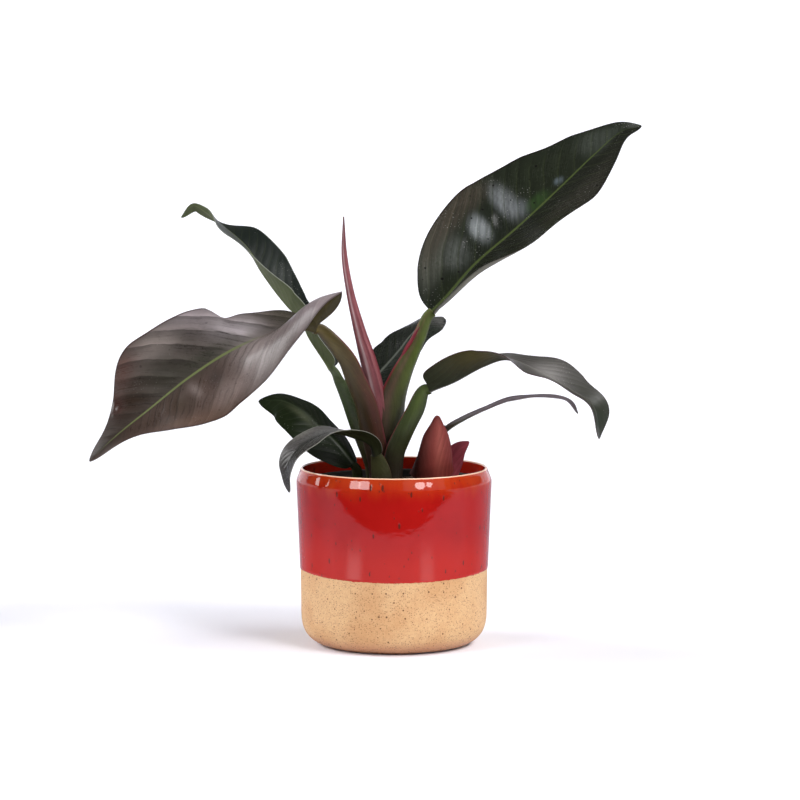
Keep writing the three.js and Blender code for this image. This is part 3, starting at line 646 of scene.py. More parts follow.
broadLeaf = {
    **plainLeaf,
    "rib": [
        (-56, -22, 230), (-66, -27, 231), (-77, -32, 230), (-92, -39, 226), (-117, -48, 215),
        (-144, -57, 198), (-171, -65, 177), (-195, -72, 158), (-213, -75, 141),
    ],
    "face": [
        (-0.05, -0.3, 0.95), (-0.15, -0.6, 0.75),
        (-0.25, -0.75, 0.6), (-0.25, -0.75, 0.6), (-0.25, -0.75, 0.6),
    ],
    "width": 46, "rise": 0.6, "taper": 0.8, "neck": 3, "wave": (3, 1.5, 0.3),
    "lobeAt": 0.1, "lobeShape": 2,
    "left": {
        "lobe": 22, "fold": [80, 50, 8, 0, 0, 0, 0], "curl": [-80, -66, -15, 0, 0, 0, 0],
        "size": [0.5, 1.95, 1.28, 1, 0.93, 0.98, 0.9, 0.65, 0.4, 0.33, 0.4],
    },
    "right": {
        "lobe": 7, "fold": [8, 8, 10, 10, 10, 10], "curl": [0],
        "size": [1, 0.8, 0.68, 0.95, 1.03, 1.08, 1.14, 1.04, 0.7, 0.45, 0.5],
        "nick": (0.28, 0.05, 0.01, 0.3),
    },
    "pillow": (0.35, 1.0), "veinGap": 21, "sweep": 1.05, "pillowAlong": [0.6, 1, 1, 0.9, 0.35, 0.15],
    "bumps": [
        (0.3, -0.45, 0.05, 0.2, 0.8), (0.42, -0.5, 0.04, 0.2, 1.2), (0.55, -0.35, 0.06, 0.2, 1.4),
        (0.66, -0.5, 0.05, 0.25, 0.8), (0.5, -0.8, 0.05, 0.15, -0.8), (0.8, 0.85, 0.02, 0.12, 1.6),
    ],
    "gloss": 0.2, "rough": 0.3,
    "upperLeft": "#40342f", "upperRight": "#423b38", "pleatShading": (0.22, 0.85), "creaseShadeAndDepth": 0.3, "streaky": 0.08,
    # the pale lilac-grey patches are painted sheen; the dark olive and brown ones are partly the leaf's own
    # tone and partly painted shade where no sheen falls
    "patches": [
        (0.27, 0.5, 0.08, 0.4, "#8d8688", 0.75),
        (0.35, 0.9, 0.1, 0.25, "#7a7173", 0.65),
        (0.52, 0.73, 0.1, 0.22, "#776e69", 0.6),
        (0.42, 0.12, 0.2, 0.16, "#2c2c24", 0.8),
        (0.43, 0.55, 0.04, 0.25, "#2f2b27", 0.5),
        (0.6, 0.3, 0.13, 0.35, "#27251e", 0.85),
        (0.74, 0.45, 0.09, 0.45, "#241911", 0.9),
        (0.68, 0.88, 0.08, 0.2, "#46302a", 0.8),
        (0.09, 0.6, 0.07, 0.8, "#34302a", 0.9),
        (0.9, 0.0, 0.11, 0.9, "#21170f", 0.95),
        (0.79, 0.8, 0.04, 0.3, "#341f1b", 0.8),
        (0.27, -0.45, 0.09, 0.5, "#877d7b", 0.65),
        (0.1, -0.8, 0.08, 0.5, "#8b8083", 0.8),
        (0.45, -0.3, 0.035, 0.2, "#332b28", 0.8),
        (0.54, -0.3, 0.02, 0.16, "#756a66", 0.6),
        (0.62, -0.4, 0.05, 0.25, "#352b23", 0.85),
        (0.6, -0.88, 0.14, 0.16, "#58453b", 0.75),
        (0.5, -0.85, 0.06, 0.25, "#44342b", 0.6),
        (0.75, -0.5, 0.08, 0.35, "#372b24", 0.7),
        (0.42, -0.7, 0.09, 0.2, "#82746f", 0.45),
    ],
    "ribTone": "#5a623c", "ribShow": 0.8, "ribWidth": 1.9, "ribFrom": 0.3,
    "marginTone": "#2c1b15", "under": "#40391f",
    "veinTone": "#2a251f", "veinStrength": 0.2, "specks": 0.1,
}
twistedLeaf = {
    **plainLeaf,
    "rib": [
        (-44, -3, 200), (-52, 0, 210), (-60, 4, 221), (-67, 7, 235), (-75, 11, 242), (-83, 14, 251),
        (-95, 18, 267), (-106, 26, 284), (-124, 38, 299), (-137, 46, 309), (-146, 50, 313), (-155, 56, 304),
    ],
    "face": [(0.5, -0.1, 0.8), (0.5, -0.1, 0.8), (0.6, 0, 0.7), (0.4, 0.15, 0.8), (0.2, 0.8, 0.1)],
    "width": 26, "rise": 0.55, "taper": 0.8, "neck": 2.5, "wave": (3, 0.8, 0.2),
    "left": {
        "lobe": 4, "fold": [60, 45, 35, 15, -5, 10, 60], "curl": [0],
        "size": [0.8, 0.65, 0.8, 1, 1, 1, 1, 1, 0.6, 0.2, 0.2],
    },
    "right": {
        "lobe": 4, "fold": [60, 60, 60, 60, 40, 10, 10], "curl": [0],
        "size": [0.7, 0.5, 0.4, 0.62, 0.78, 0.9, 0.88, 1, 0.95, 0.65, 0.7],
    },
    # the pale grey of the left half is painted sheen where that half faces the light, and the pale margin
    # tone is a painted edge highlight
    "upperLeft": "#4c4f4d", "upperRight": "#161b18", "gloss": 0.1, "rough": 0.38,
    "patches": [(0.45, 0.5, 0.1, 0.3, "#2b302c", 0.6), (0.85, 0.3, 0.08, 0.6, "#3a3e34", 0.6)],
    "under": "#50573a", "marginTone": "#8d9183", "marginShow": 0.6,
    "underPatches": [(0.1, 0, 0.1, 1, "#3f4628", 0.6), (0.95, 0, 0.1, 1, "#3f4530", 0.7)],
    "ribTone": "#7c8456",
}
rearLeaf = {
    **plainLeaf,
    "rib": [(-16, 22, 188), (-7, 28, 197), (4, 35, 209), (13, 42, 220), (25, 50, 230), (36, 57, 231)],
    "face": [(-0.4, -0.6, 0.7)],
    "width": 22, "rise": 0.55, "taper": 0.45, "neck": 2, "wave": (2, 0.8, 0),
    "left": {
        "lobe": 4, "fold": [10, 0, -10, -25, -30], "curl": [0],
        "size": [1.2, 1.25, 1.2, 1.2, 1.05, 1, 0.95, 1, 1, 1, 1],
    },
    "right": {
        "lobe": 8, "fold": [0], "curl": [0],
        "size": [1.2, 1.3, 1.1, 0.88, 0.8, 0.76, 0.78, 0.9, 0.95, 0.9, 0.8],
    },
    "upperLeft": "#191d17", "upperRight": "#232822",
    # the grey patch at the tip is a painted highlight
    "patches": [(0.93, 0.3, 0.12, 0.9, "#6e6d6b", 0.9), (0.97, 0.8, 0.03, 0.2, "#111010", 0.9)],
    "gloss": 0.17,
    # the pale grey rib tone is a painted glint along the midrib
    "ribTone": "#6b6f66", "ribWidth": 1.6, "ribShow": 0.6, "pillow": (0.2, 0.2),
}
archingLeaf = {
    **plainLeaf,
    "rib": [
        (25, -12, 186), (41, -14, 191), (64, -18, 203), (80, -22, 208),
        (100, -26, 201), (127, -32, 186), (141, -36, 176), (145.5, -38, 152.5),
    ],
    "face": [(-0.1, 0, 1), (-0.1, 0, 1), (0.3, -0.2, 0.9), (0.9, -0.3, 0.3)],
    "width": 23, "rise": 0.5, "taper": 0.75, "neck": 3, "wave": (3, 0.8, 0.4),
    "left": {
        "lobe": 8, "fold": [45, 35, 8, 10, 36, 36, 20], "curl": [0],
        "size": [1, 1, 1, 1, 0.9, 1, 1, 0.93, 0.85, 1.3, 1.4],
    },
    "right": {
        "lobe": 8, "fold": [64, 60, 25, 5, 14, 14, 0], "curl": [0],
        "size": [1.1, 1.15, 1.05, 1.05, 1, 1.1, 1, 1, 1, 1, 1],
    },
    # the grey of its upper face is partly painted sheen, and the two pale grey patches below are painted
    # highlights
    "upperLeft": "#3d3b38", "upperRight": "#403e3a", "gloss": 0.17, "rough": 0.32,
    "pillow": (0.25, 0.2), "sweep": 2.2, "veinGap": 11, "pleatShading": (0.35, 0.2),
    "patches": [
        (0.38, 0.2, 0.05, 0.6, "#6b6866", 0.7), (0.59, -0.1, 0.08, 0.7, "#7d7a78", 0.8),
        (0.78, -0.3, 0.08, 0.6, "#33342f", 0.6), (0.92, 0, 0.09, 1.5, "#1c2416", 0.95),
    ],
    "ribTone": "#8b8883", "ribWidth": 1.1, "ribShow": 0.5,
    "under": "#1f220f", "underPatches": [(0.28, 0.7, 0.12, 0.5, "#4f482a", 0.7)],
    "marginTone": "#3a1512",
}
slenderLeaf = {
    **plainLeaf,
    "rib": [(37, 12, 155), (65, 14, 168), (85, 16, 175), (105, 18, 177), (126, 20, 174), (133, 21, 164)],
    "face": [(0, 0.2, 1), (0, 0.2, 1), (0.6, 0.2, 0.9)],
    "width": 17, "rise": 0.5, "taper": 0.75, "neck": 2.4, "wave": (3, 0.4, 0),
    "left": {"lobe": 2, "fold": [4, 2, 0], "curl": [0], "size": [1]},
    "right": {"lobe": 2, "fold": [4, 2, 0], "curl": [0], "size": [1]},
    "upperLeft": "#3a3735", "upperRight": "#3a3735", "under": "#43302d",
    "underPatches": [(0.1, 0, 0.1, 1, "#3a4124", 0.7)],
}
lowLeaf = {
    **plainLeaf,
    "rib": [(-29, 4, 129), (-40, 6, 143), (-53, 9, 155), (-68, 13, 168), (-82, 17, 174), (-98, 20, 173)],
    "face": [(0.2, -0.9, 0.4)],
    "width": 25, "rise": 0.6, "taper": 0.8, "neck": 3, "wave": (2, 0.7, 0.2),
    "left": {
        "lobe": 0, "fold": [20, 10, 5], "curl": [0],
        "size": [1, 1, 0.98, 0.93, 0.89, 0.87, 0.87, 0.9, 0.95, 0.98, 1],
    },
    "right": {
        "lobe": 0, "fold": [-48], "curl": [0],
        "size": [0.7, 0.75, 0.85, 0.88, 0.85, 0.85, 0.82, 0.8, 0.78, 0.7, 0.7],
    },
    "upperLeft": "#182010", "upperRight": "#171e10", "pillow": (0.15, 0.15), "gloss": 0.09, "rough": 0.34,
    # the pale patch is a painted highlight; the others are the leaf's own darker tone
    "patches": [
        (0.6, -0.12, 0.14, 0.13, "#4a4f3b", 0.85), (0.2, -0.6, 0.12, 0.4, "#12170d", 0.7),
        (0.85, -0.3, 0.1, 0.5, "#222a1b", 0.6),
    ],
    "ribTone": "#39412f", "ribShow": 0.45, "marginTone": "#2a2d22",
}
droopingLeaf = {
    **plainLeaf,
    "rib": [
        (-12.5, -16, 139), (-14.8, -18, 144.5), (-19.5, -21.5, 149), (-27, -25, 152), (-36, -28, 155),
        (-46, -31, 156), (-57, -34, 152), (-67, -38, 146), (-74, -41, 137), (-76, -43, 126),
        (-74, -44, 115),
    ],
    "face": [(0.3, 0, 0.9), (0, -0.1, 1), (-0.4, -0.2, 0.9), (-0.9, -0.4, 0.2)],
    "width": 13.5, "rise": 0.5, "taper": 0.7, "neck": 3, "wave": (2.5, 0.5, 0.1),
    "left": {
        "lobe": 0, "fold": [50, 48, 15, 0, 0, 0], "curl": [0],
        "size": [0.7, 0.8, 0.9, 0.9, 1, 1, 1, 1, 1, 0.8, 1],
    },
    "right": {
        "lobe": 0, "fold": [25, 15, 5, 10, 20, 22, 20], "curl": [0],
        "size": [0.8, 0.8, 0.9, 1, 1.15, 1.15, 1.1, 1.15, 1, 0.7, 1],
    },
    # the two pale grey patches are painted highlights, the near-black ones painted shade where the blade
    # hangs down, and the pale margin tone a painted edge highlight
    "upperLeft": "#343230", "upperRight": "#474443", "gloss": 0.2,
    "patches": [
        (0.45, 0.1, 0.12, 0.6, "#656564", 0.7), (0.55, 0.9, 0.1, 0.25, "#6a6863", 0.7),
        (0.8, 0.1, 0.08, 1, "#272523", 0.8), (0.93, 0, 0.08, 1, "#252623", 0.7),
        (0.62, 0.05, 0.2, 0.2, "#22221f", 0.8),
    ],
    "under": "#212410", "sweep": 1.6, "veinGap": 7,
    "ribTone": "#1d1e1b", "ribShow": 0.5, "marginTone": "#8b8a80", "marginShow": 0.7,
}

# Sheaths without a blade

frontSheath = {
    **plainLeaf,
    "rib": [(29, 2, 118), (28, -2, 128), (28.5, -4, 140), (30, -3, 153), (31, 0, 165)],
    "face": [(0, 1, 0.2)],
    "width": 19, "rise": 0.1, "taper": 0.62, "neck": 8, "wave": (2, 0.3, 0),
    "left": {
        "lobe": 0, "fold": [15], "curl": [60],
        "size": [0.66, 0.82, 0.9, 0.92, 0.96, 1.01, 1.02, 0.98, 0.93, 0.79, 0.72],
    },
    "right": {
        "lobe": 0, "fold": [15], "curl": [60],
        "size": [0.9, 0.86, 0.81, 0.73, 0.71, 0.74, 0.79, 0.8, 0.7, 0.56, 0.5],
    },
    "upperLeft": "#7c3a30", "upperRight": "#7c3a30", "under": "#7e352f",
    "underPatches": [
        # the first, lighter red patch is a painted highlight
        (0.5, -0.25, 0.45, 0.22, "#984d42", 0.8), (0.45, 0.55, 0.5, 0.3, "#5c2a24", 0.8),
        (0.1, 0.9, 0.3, 0.35, "#431d19", 0.9), (0.4, -1.0, 0.6, 0.12, "#6a2028", 0.8),
        (0.98, 0, 0.06, 1, "#6a2a24", 0.8),
    ],
    "sweep": 4.0, "veinGap": 16, "veinStrength": 0.15, "veinTone": "#5e2620",
    "pleatShading": (0.35, 0.35), "ribShow": -0.5, "keelShare": 0.15, "edge": 0.8,
    "marginTone": "#5a1a1c", "specks": 0, "spots": 0, "gloss": 0.25, "rough": 0.42,
}
rearSheath = {
    **frontSheath,
    "rib": [(37, 13, 118), (41, 14, 129), (46, 13, 138), (54, 10, 145)],
    "face": [(0, -1, 0.3)],
    "width": 8, "rise": 0.3, "taper": 0.8, "neck": 3, "wave": (1, 0.3, 0),
    "left": {"lobe": 0, "fold": [-10], "curl": [0], "size": [1]},
    "right": {"lobe": 0, "fold": [-10], "curl": [0], "size": [1]},
    "upperLeft": "#8a3a44", "upperRight": "#96404a", "under": "#6d2530", "underPatches": [],
}


# Petioles and the rolled new leaf

def addStalk(name, shape, material, slot, node, rows=140, sides=56):
    # Rings along the path. A ring is half.cos(a) across and wrap.cos(a)^2 + thick/2.sin(a) forwards, so its
    # two edges reach forwards as thin wings. A petiole ends in line with its blade's base.
    path = [tuple(p) for p in shape["path"]]
    if "blade" in shape:
        start = guideThrough(shape["blade"]["rib"], shape["blade"]["face"])
        seat = start["spine"][0] - 0.8 * start["face"][0]
        path += [tuple(seat - 4 * start["along"][0]), tuple(seat + 0.6 * start["along"][0])]
    guide = guideThrough(path, shape["face"])
    t = np.linspace(0, 1, rows + 1)[:, None]
    angle = np.linspace(0, 2 * np.pi, sides, endpoint=False)[None]
    _, at = readGuide(guide, (t * guide["length"]) + 0 * angle)
    half, thick, wrap = (blend(shape[key], t) for key in ("half", "thick", "wrap"))
    grooves = 1 + shape["groove"] * np.sin(9 * angle) * np.sin(np.pi * t) ** 0.3
    x = half * np.cos(angle) * grooves
    y = wrap * np.cos(angle) ** 2 + thick / 2 * np.sin(angle) * grooves
    if "seam" in shape:  # the rolled edge stands proud and winds slowly round
        turn = np.mod(angle - shape["seam"][0] - shape["seam"][1] * t, 2 * np.pi) / (2 * np.pi)
        swell = 1 + shape["seam"][2] * (turn - 0.5)
        x, y = x * swell, y * swell
    point = at["spine"] + at["across"] * x[..., None] + at["face"] * y[..., None]
    ends = np.stack([guide["spine"][0], guide["spine"][-1]])
    points = np.concatenate([point.reshape(-1, 3), ends])
    quads = gridQuads(rows + 1, sides, around=True)
    caps = closingFans(rows + 1, sides, len(points))
    t2, a2 = t + 0 * angle, angle + 0 * t
    side = np.cos(a2)
    tone = paint(np.broadcast_to(toneOf(shape["tone"]), point.shape), shape["patches"], t2, np.sin(a2))
    tone = paint(tone, shape["sidePatches"], t2, side)
    edge = np.exp(-(((np.abs(side) - 1) / shape["edgeWide"]) ** 2)) * (1 - smoothStep(0.84, 0.95, t2))
    edge = edge * np.where(side > 0, shape["redEdge"][1], shape["redEdge"][0])
    tone = tone + (toneOf(shape["edgeTone"]) - tone) * edge[..., None]
    place = np.stack([t2 * guide["length"], a2 * half, side], -1).reshape(-1, 3)
    attributes = {
        "tint": np.concatenate([tone.reshape(-1, 3), tone[0, :1], tone[-1, :1]]),
        "place": np.concatenate([place, place[:1], place[-1:]]),
    }
    piece = addMesh(name, points, quads, caps, attributes)
    print("stalk", name, len(quads), "faces")
    return settle(piece, material, slot, *([node] if node else []))


stalkFinish = {"rough": 0.42, "specular": 0.3, "streakTone": "#8d9a5c"}


def stalkMaterial(name):
    # painted tones with fine streaks that run along the stalk, pale flecks and a soft gloss
    material, tree, shader = newMaterial(name)
    tint = attribute(tree, "tint")
    along, around, side = parts(tree, attribute(tree, "place"))
    place = objectPlace(tree)
    streak = noise(tree, joined(tree, times(tree, along, 0.03), around, side), 1.3, 5, 0.6)
    blotch = noise(tree, place, 90, 4, 0.6)
    change = plus(tree, times(tree, streak, 0.9), times(tree, blotch, 0.7))
    gain = math(tree, "MULTIPLY_ADD", minus(tree, change, 0.8), 1.0, 1.0)
    tone = mixTone(tree, 1.0, tint, joined(tree, gain, gain, gain), "MULTIPLY")
    flecks = ramp(tree, dots(tree, place, 420), 0.12, 0.05)
    flecks = times(tree, flecks, ramp(tree, noise(tree, place, 120, 2), 0.5, 0.62))
    tone = mixTone(tree, times(tree, flecks, 0.3), tone, toneOf(stalkFinish["streakTone"]))
    tree.links.new(tone, shader.inputs["Base Color"])
    rough = math(tree, "MULTIPLY_ADD", minus(tree, change, 0.8), 0.25, stalkFinish["rough"])
    tree.links.new(rough, shader.inputs["Roughness"])
    shader.inputs["Specular IOR Level"].default_value = stalkFinish["specular"]
    bump(tree, shader, streak, 0.3 * mm, 0.7)
    return material


plainStalk = {
    # what the stalks share unless one says otherwise
    "groove": 0.012,  # how deep the fine grooves are, as a share of the width
    "patches": [],  # share along, front or back, their two reaches, tone and strength
    "sidePatches": [],  # the same, placed from the left edge at -1 to the right edge at 1
    "redEdge": (0, 0),  # how red the left and the right edge are
    "edgeWide": 0.02,
    "edgeTone": "#7d2a2e",
}

tallPetiole = {
    **plainStalk,
    "path": [
        (-3, 0, 118), (-3, 0, 126), (-1, 1, 154), (1, 2, 176), (6, 3, 192), (13, 5, 208), (19, 6, 222),
    ],
    "face": [(-0.5, 0.8, 0.2)],
    "half": [9, 10.5, 11, 11.5, 9.5, 7, 5.6, 4], "thick": [5, 5, 5, 5, 5, 5, 5, 4.4],
    "wrap": [5, 5, 4, 4, 3, 2, 1, 0], "blade": tallLeaf,
    "tone": "#454d1e",
    "patches": [(0.0, 0, 0.52, 3, "#24161a", 0.95)],
    "sidePatches": [
        (0.45, 0.7, 0.2, 0.4, "#43302a", 0.8), (0.8, -0.3, 0.25, 0.5, "#55642a", 0.8),
        (0.6, 0.6, 0.4, 0.15, "#5b4434", 0.6),
    ],
    "redEdge": (0.3, 0.95), "edgeWide": 0.05, "edgeTone": "#7b2530",
}
broadPetiole = {
    **plainStalk,
    "path": [
        (-13, -5, 118), (-13, -5, 126), (-18, -7, 154), (-22, -10, 173),
        (-28.5, -14, 191), (-34, -18, 206), (-43, -21, 219),
    ],
    "face": [(0.5, 0.8, 0.2)],
    "half": [8.5, 9.5, 10, 9.8, 9, 8, 6.5, 4], "thick": [5, 5, 5, 5, 5, 5, 5, 4.4],
    "wrap": [5, 5, 4, 4, 3, 2, 1, 0], "blade": broadLeaf,
    "tone": "#41361a",
    "patches": [(0.0, 0, 0.45, 3, "#2b1512", 0.9)],
    "sidePatches": [
        (0.4, -0.75, 0.3, 0.35, "#4a241b", 0.8), (0.9, -0.1, 0.2, 0.6, "#605429", 0.8),
        (0.45, 0.95, 0.4, 0.2, "#46502e", 0.7),
    ],
    "redEdge": (0.7, 0.1), "edgeWide": 0.03, "edgeTone": "#5e2028",
}
twistedPetiole = {
    **plainStalk,
    "path": [
        (-16, 6, 118), (-16.5, 6, 126), (-20, 6, 140), (-25, 6, 154), (-30, 5, 168),
        (-35.5, 4, 181), (-39.5, 1, 190),
    ],
    "face": [(0.5, 0.8, 0.3)],
    "half": [6, 7, 8, 8.2, 7.6, 6, 4.6, 3], "thick": [5, 5, 5, 5, 4], "wrap": [3, 2, 1, 0],
    "blade": twistedLeaf,
    "tone": "#3a4727",
    "patches": [(1.0, 0, 0.2, 3, "#565f42", 0.7), (0.2, 0, 0.25, 3, "#48412c", 0.8)],
}
rearPetiole = {
    **plainStalk,
    "path": [(-6, 10, 118), (-8, 12, 150), (-16, 19, 177)],
    "face": [(0, -1, 0.3)],
    "half": [6, 5, 4.5, 3.2], "thick": [5, 5, 5, 4], "wrap": [3, 2, 1, 0], "blade": rearLeaf,
    "tone": "#39441f", "patches": [(0.0, 0, 0.5, 3, "#2a1a18", 0.8)], "redEdge": (0.4, 0.4),
}
archingPetiole = {
    **plainStalk,
    "path": [(0, -10, 118), (0, -10, 125), (1.5, -11, 139), (7.5, -12, 154), (15.5, -12, 170)],
    "face": [(-0.3, 0.9, 0.2)],
    "half": [7.5, 7.5, 7.5, 7, 6.5, 3.8], "thick": [5, 5, 5, 5, 4.4], "wrap": [3, 2, 1, 0],
    "blade": archingLeaf,
    "tone": "#303a17", "patches": [(0.05, 0, 0.4, 3, "#221315", 0.9)],
    "sidePatches": [(0.85, 0.2, 0.25, 0.6, "#46541f", 0.7)], "redEdge": (0, 0.6),
}
slenderPetiole = {
    **plainStalk,
    "path": [(31, 10, 118), (31, 10, 132), (32, 11, 146)],
    "face": [(0, 1, 0.3)],
    "half": [4, 3.5, 3, 2.6], "thick": [5, 4.5, 4, 3.5], "wrap": [0], "blade": slenderLeaf,
    "tone": "#3f4524", "patches": [(0.9, 0, 0.2, 3, "#4a3a34", 0.6)],
}
lowPetiole = {
    **plainStalk,
    "path": [(-26, 6, 118), (-26.5, 5, 123)],
    "face": [(0.5, 0.8, 0.3)],
    "half": [4.5, 4, 3.4], "thick": [5, 5, 4], "wrap": [0], "blade": lowLeaf,
    "tone": "#2c351b",
}
droopingPetiole = {
    **plainStalk,
    "path": [(-8.5, -14, 118), (-9.5, -14, 126)],
    "face": [(0, 0.9, 0.3)],
    "half": [7.5, 7, 5.8, 3.6], "thick": [4, 4, 4], "wrap": [2, 1, 0], "blade": droopingLeaf,
    "tone": "#3c3d22", "patches": [(0.0, 0, 0.3, 3, "#211813", 0.8)], "redEdge": (0.2, 0.1),
}
tallWing = {
    # the free end of the tall petiole's sheath
    **plainStalk,
    "path": [(5, 3, 205), (9, 1.5, 213), (14, 1, 221), (18.5, 1, 229)],
    "face": [(-0.5, 0.8, 0.2)],
    "half": [0.8, 1.7, 1.4, 0.3], "thick": [1, 1.1, 1, 0.5], "wrap": [0.4],
    "tone": "#7a2a33", "patches": [(1.0, 0, 0.3, 3, "#571a24", 0.8)],
}
newLeaf = {
    **plainStalk,
    "path": [
        (-7, 3, 118), (-8, 2, 150), (-15, 1, 190), (-25.5, 0, 229),
        (-31.5, 0, 254), (-35.5, 0, 280), (-36, 0, 308),
    ],
    "face": [(0, -1, 0)],
    "half": [4, 5, 6, 6, 4.3, 2.9, 2.1, 0.5], "thick": [8, 9, 10, 10, 7.5, 5.5, 4, 1], "wrap": [0],
    "groove": 0.0, "seam": (0.6, 1.2, 0.16),
    "tone": "#7e484b",
    "patches": [(0.0, 0, 0.3, 3, "#5c2226", 0.8), (1.0, 0, 0.12, 3, "#48282a", 0.8)],
    "sidePatches": [
        (0.6, -0.3, 0.6, 0.18, "#b59c9d", 0.8), (0.55, 0.35, 0.6, 0.1, "#6c2c36", 0.6),
        (0.5, 0.97, 0.9, 0.2, "#5c121f", 0.9), (0.5, -0.97, 0.9, 0.14, "#5c1a22", 0.9),
    ],
}


# Turned bodies: the pot, the nursery pot and the stems

def softened(profile, rounds=2):
    # cuts the corners of a profile again and again, keeping its two ends
    p = np.asarray(profile, float)
    for _ in range(rounds):
        near = 0.82 * p[:-1] + 0.18 * p[1:]
        far = 0.18 * p[:-1] + 0.82 * p[1:]
        p = np.concatenate([p[:1], np.stack([near, far], 1).reshape(-1, 2)[1:-1], p[-1:]])
    return p


def addTurned(name, profile, segments, material, slot, node, centre=(0, 0), shape=None, step=1.5):
    # a profile from the axis round to the axis, turned; shape may change the radius and height, and a point
    # is marked as outer up to the profile's highest place
    p = softened(profile)
    run = np.concatenate([[0], np.cumsum(np.linalg.norm(np.diff(p, axis=0), axis=1))])
    at = np.unique(np.concatenate([run, np.arange(0, run[-1], step)]))
    outer = (at <= run[np.argmax(p[:, 1])])[1:-1].astype(float)
    radius, height = np.interp(at, run, p[:, 0])[1:-1], np.interp(at, run, p[:, 1])[1:-1]
    angle = np.linspace(0, 2 * np.pi, segments, endpoint=False)
    radius, turn = np.meshgrid(radius, angle, indexing="ij")
    height = np.broadcast_to(height[:, None], radius.shape)
    if shape:
        radius, height = shape(radius, height, turn)
    point = np.stack([centre[0] + radius * np.cos(turn), centre[1] + radius * np.sin(turn), height], -1)
    rows = len(point)
    ends = np.array([[*centre, p[0, 1]], [*centre, p[-1, 1]]])
    points = np.concatenate([point.reshape(-1, 3), ends])
    caps = closingFans(rows, segments, len(points))
    sided = {"outer": np.concatenate([np.repeat(outer, segments), [1.0, 0.0]])}
    piece = addMesh(name, points, gridQuads(rows, segments, around=True), caps, sided)
    print("turned", name, len(points), "points")
    return settle(piece, material, slot, node)


glazedPot = {
    "profile": [
        (0, 1.2), (44, 1.2), (46, 0), (49.5, 0.2), (54, 1.3), (58, 3.2), (61.5, 6), (64.2, 9.6), (66, 14.2),
        (66.9, 20), (67.2, 52), (67.2, 53), (68.5, 85), (69.7, 114), (69.82, 117), (69.75, 118.8),
        (69.4, 120.1), (67.15, 125.7), (66.85, 127), (66.35, 127.7), (65.9, 127.7), (65.5, 127),
        (65.35, 125.5), (65.3, 123), (63.5, 60), (62, 22), (59, 12), (54, 7), (48, 6), (0, 6),
    ],
    "segments": 236, "step": 1.2,  # faces round it, and mm between its rings
    "edgeHeight": 54.4, "edgeBow": 1.0, "edgeWander": 0.5, "glazeProud": 0.4,
    "wallRadius": 67,  # mm; marks are laid out round the wall at this radius
    # heights in mm where each tone starts and where it is full
    "orangeHeights": (109, 128), "floorReflectionHeights": (92, 62),
    "lipHeights": (126.8, 127.3), "footShadeHeights": (12, 2),
    "glaze": "#991411", "glazeFloorReflection": "#a51c12", "glazeTop": "#a33210", "glazeDeep": "#8c0e0b",
    "lip": "#f2c8aa", "speckle": "#38211b", "gloss": 0.27,
    "clay": "#c4996b", "clayPale": "#cfaa7d", "clayFootShade": "#b88166",
    "clayGrain": "#a4704a", "pepper": "#58371f",  # the tone of its grains and of its specks
}


def glazeEdge(turn):
    # the height of the glaze's lower edge round the pot, a little higher at the sides than in front
    wander = 0.5 * np.sin(3 * turn + 1) + 0.3 * np.sin(11 * turn) + 0.25 * np.sin(29 * turn + 2)
    bow = glazedPot["edgeBow"] * np.cos(2 * turn)
    return glazedPot["edgeHeight"] + bow + glazedPot["edgeWander"] * wander


def glazedShape(radius, height, turn):
    # the glaze stands proud of the clay above its edge, on the outside only
    outside = radius > 66.2
    step = smoothStep(-0.4, 0.5, height - glazeEdge(turn)) * glazedPot["glazeProud"]
    return radius + np.where(outside, step, 0), height


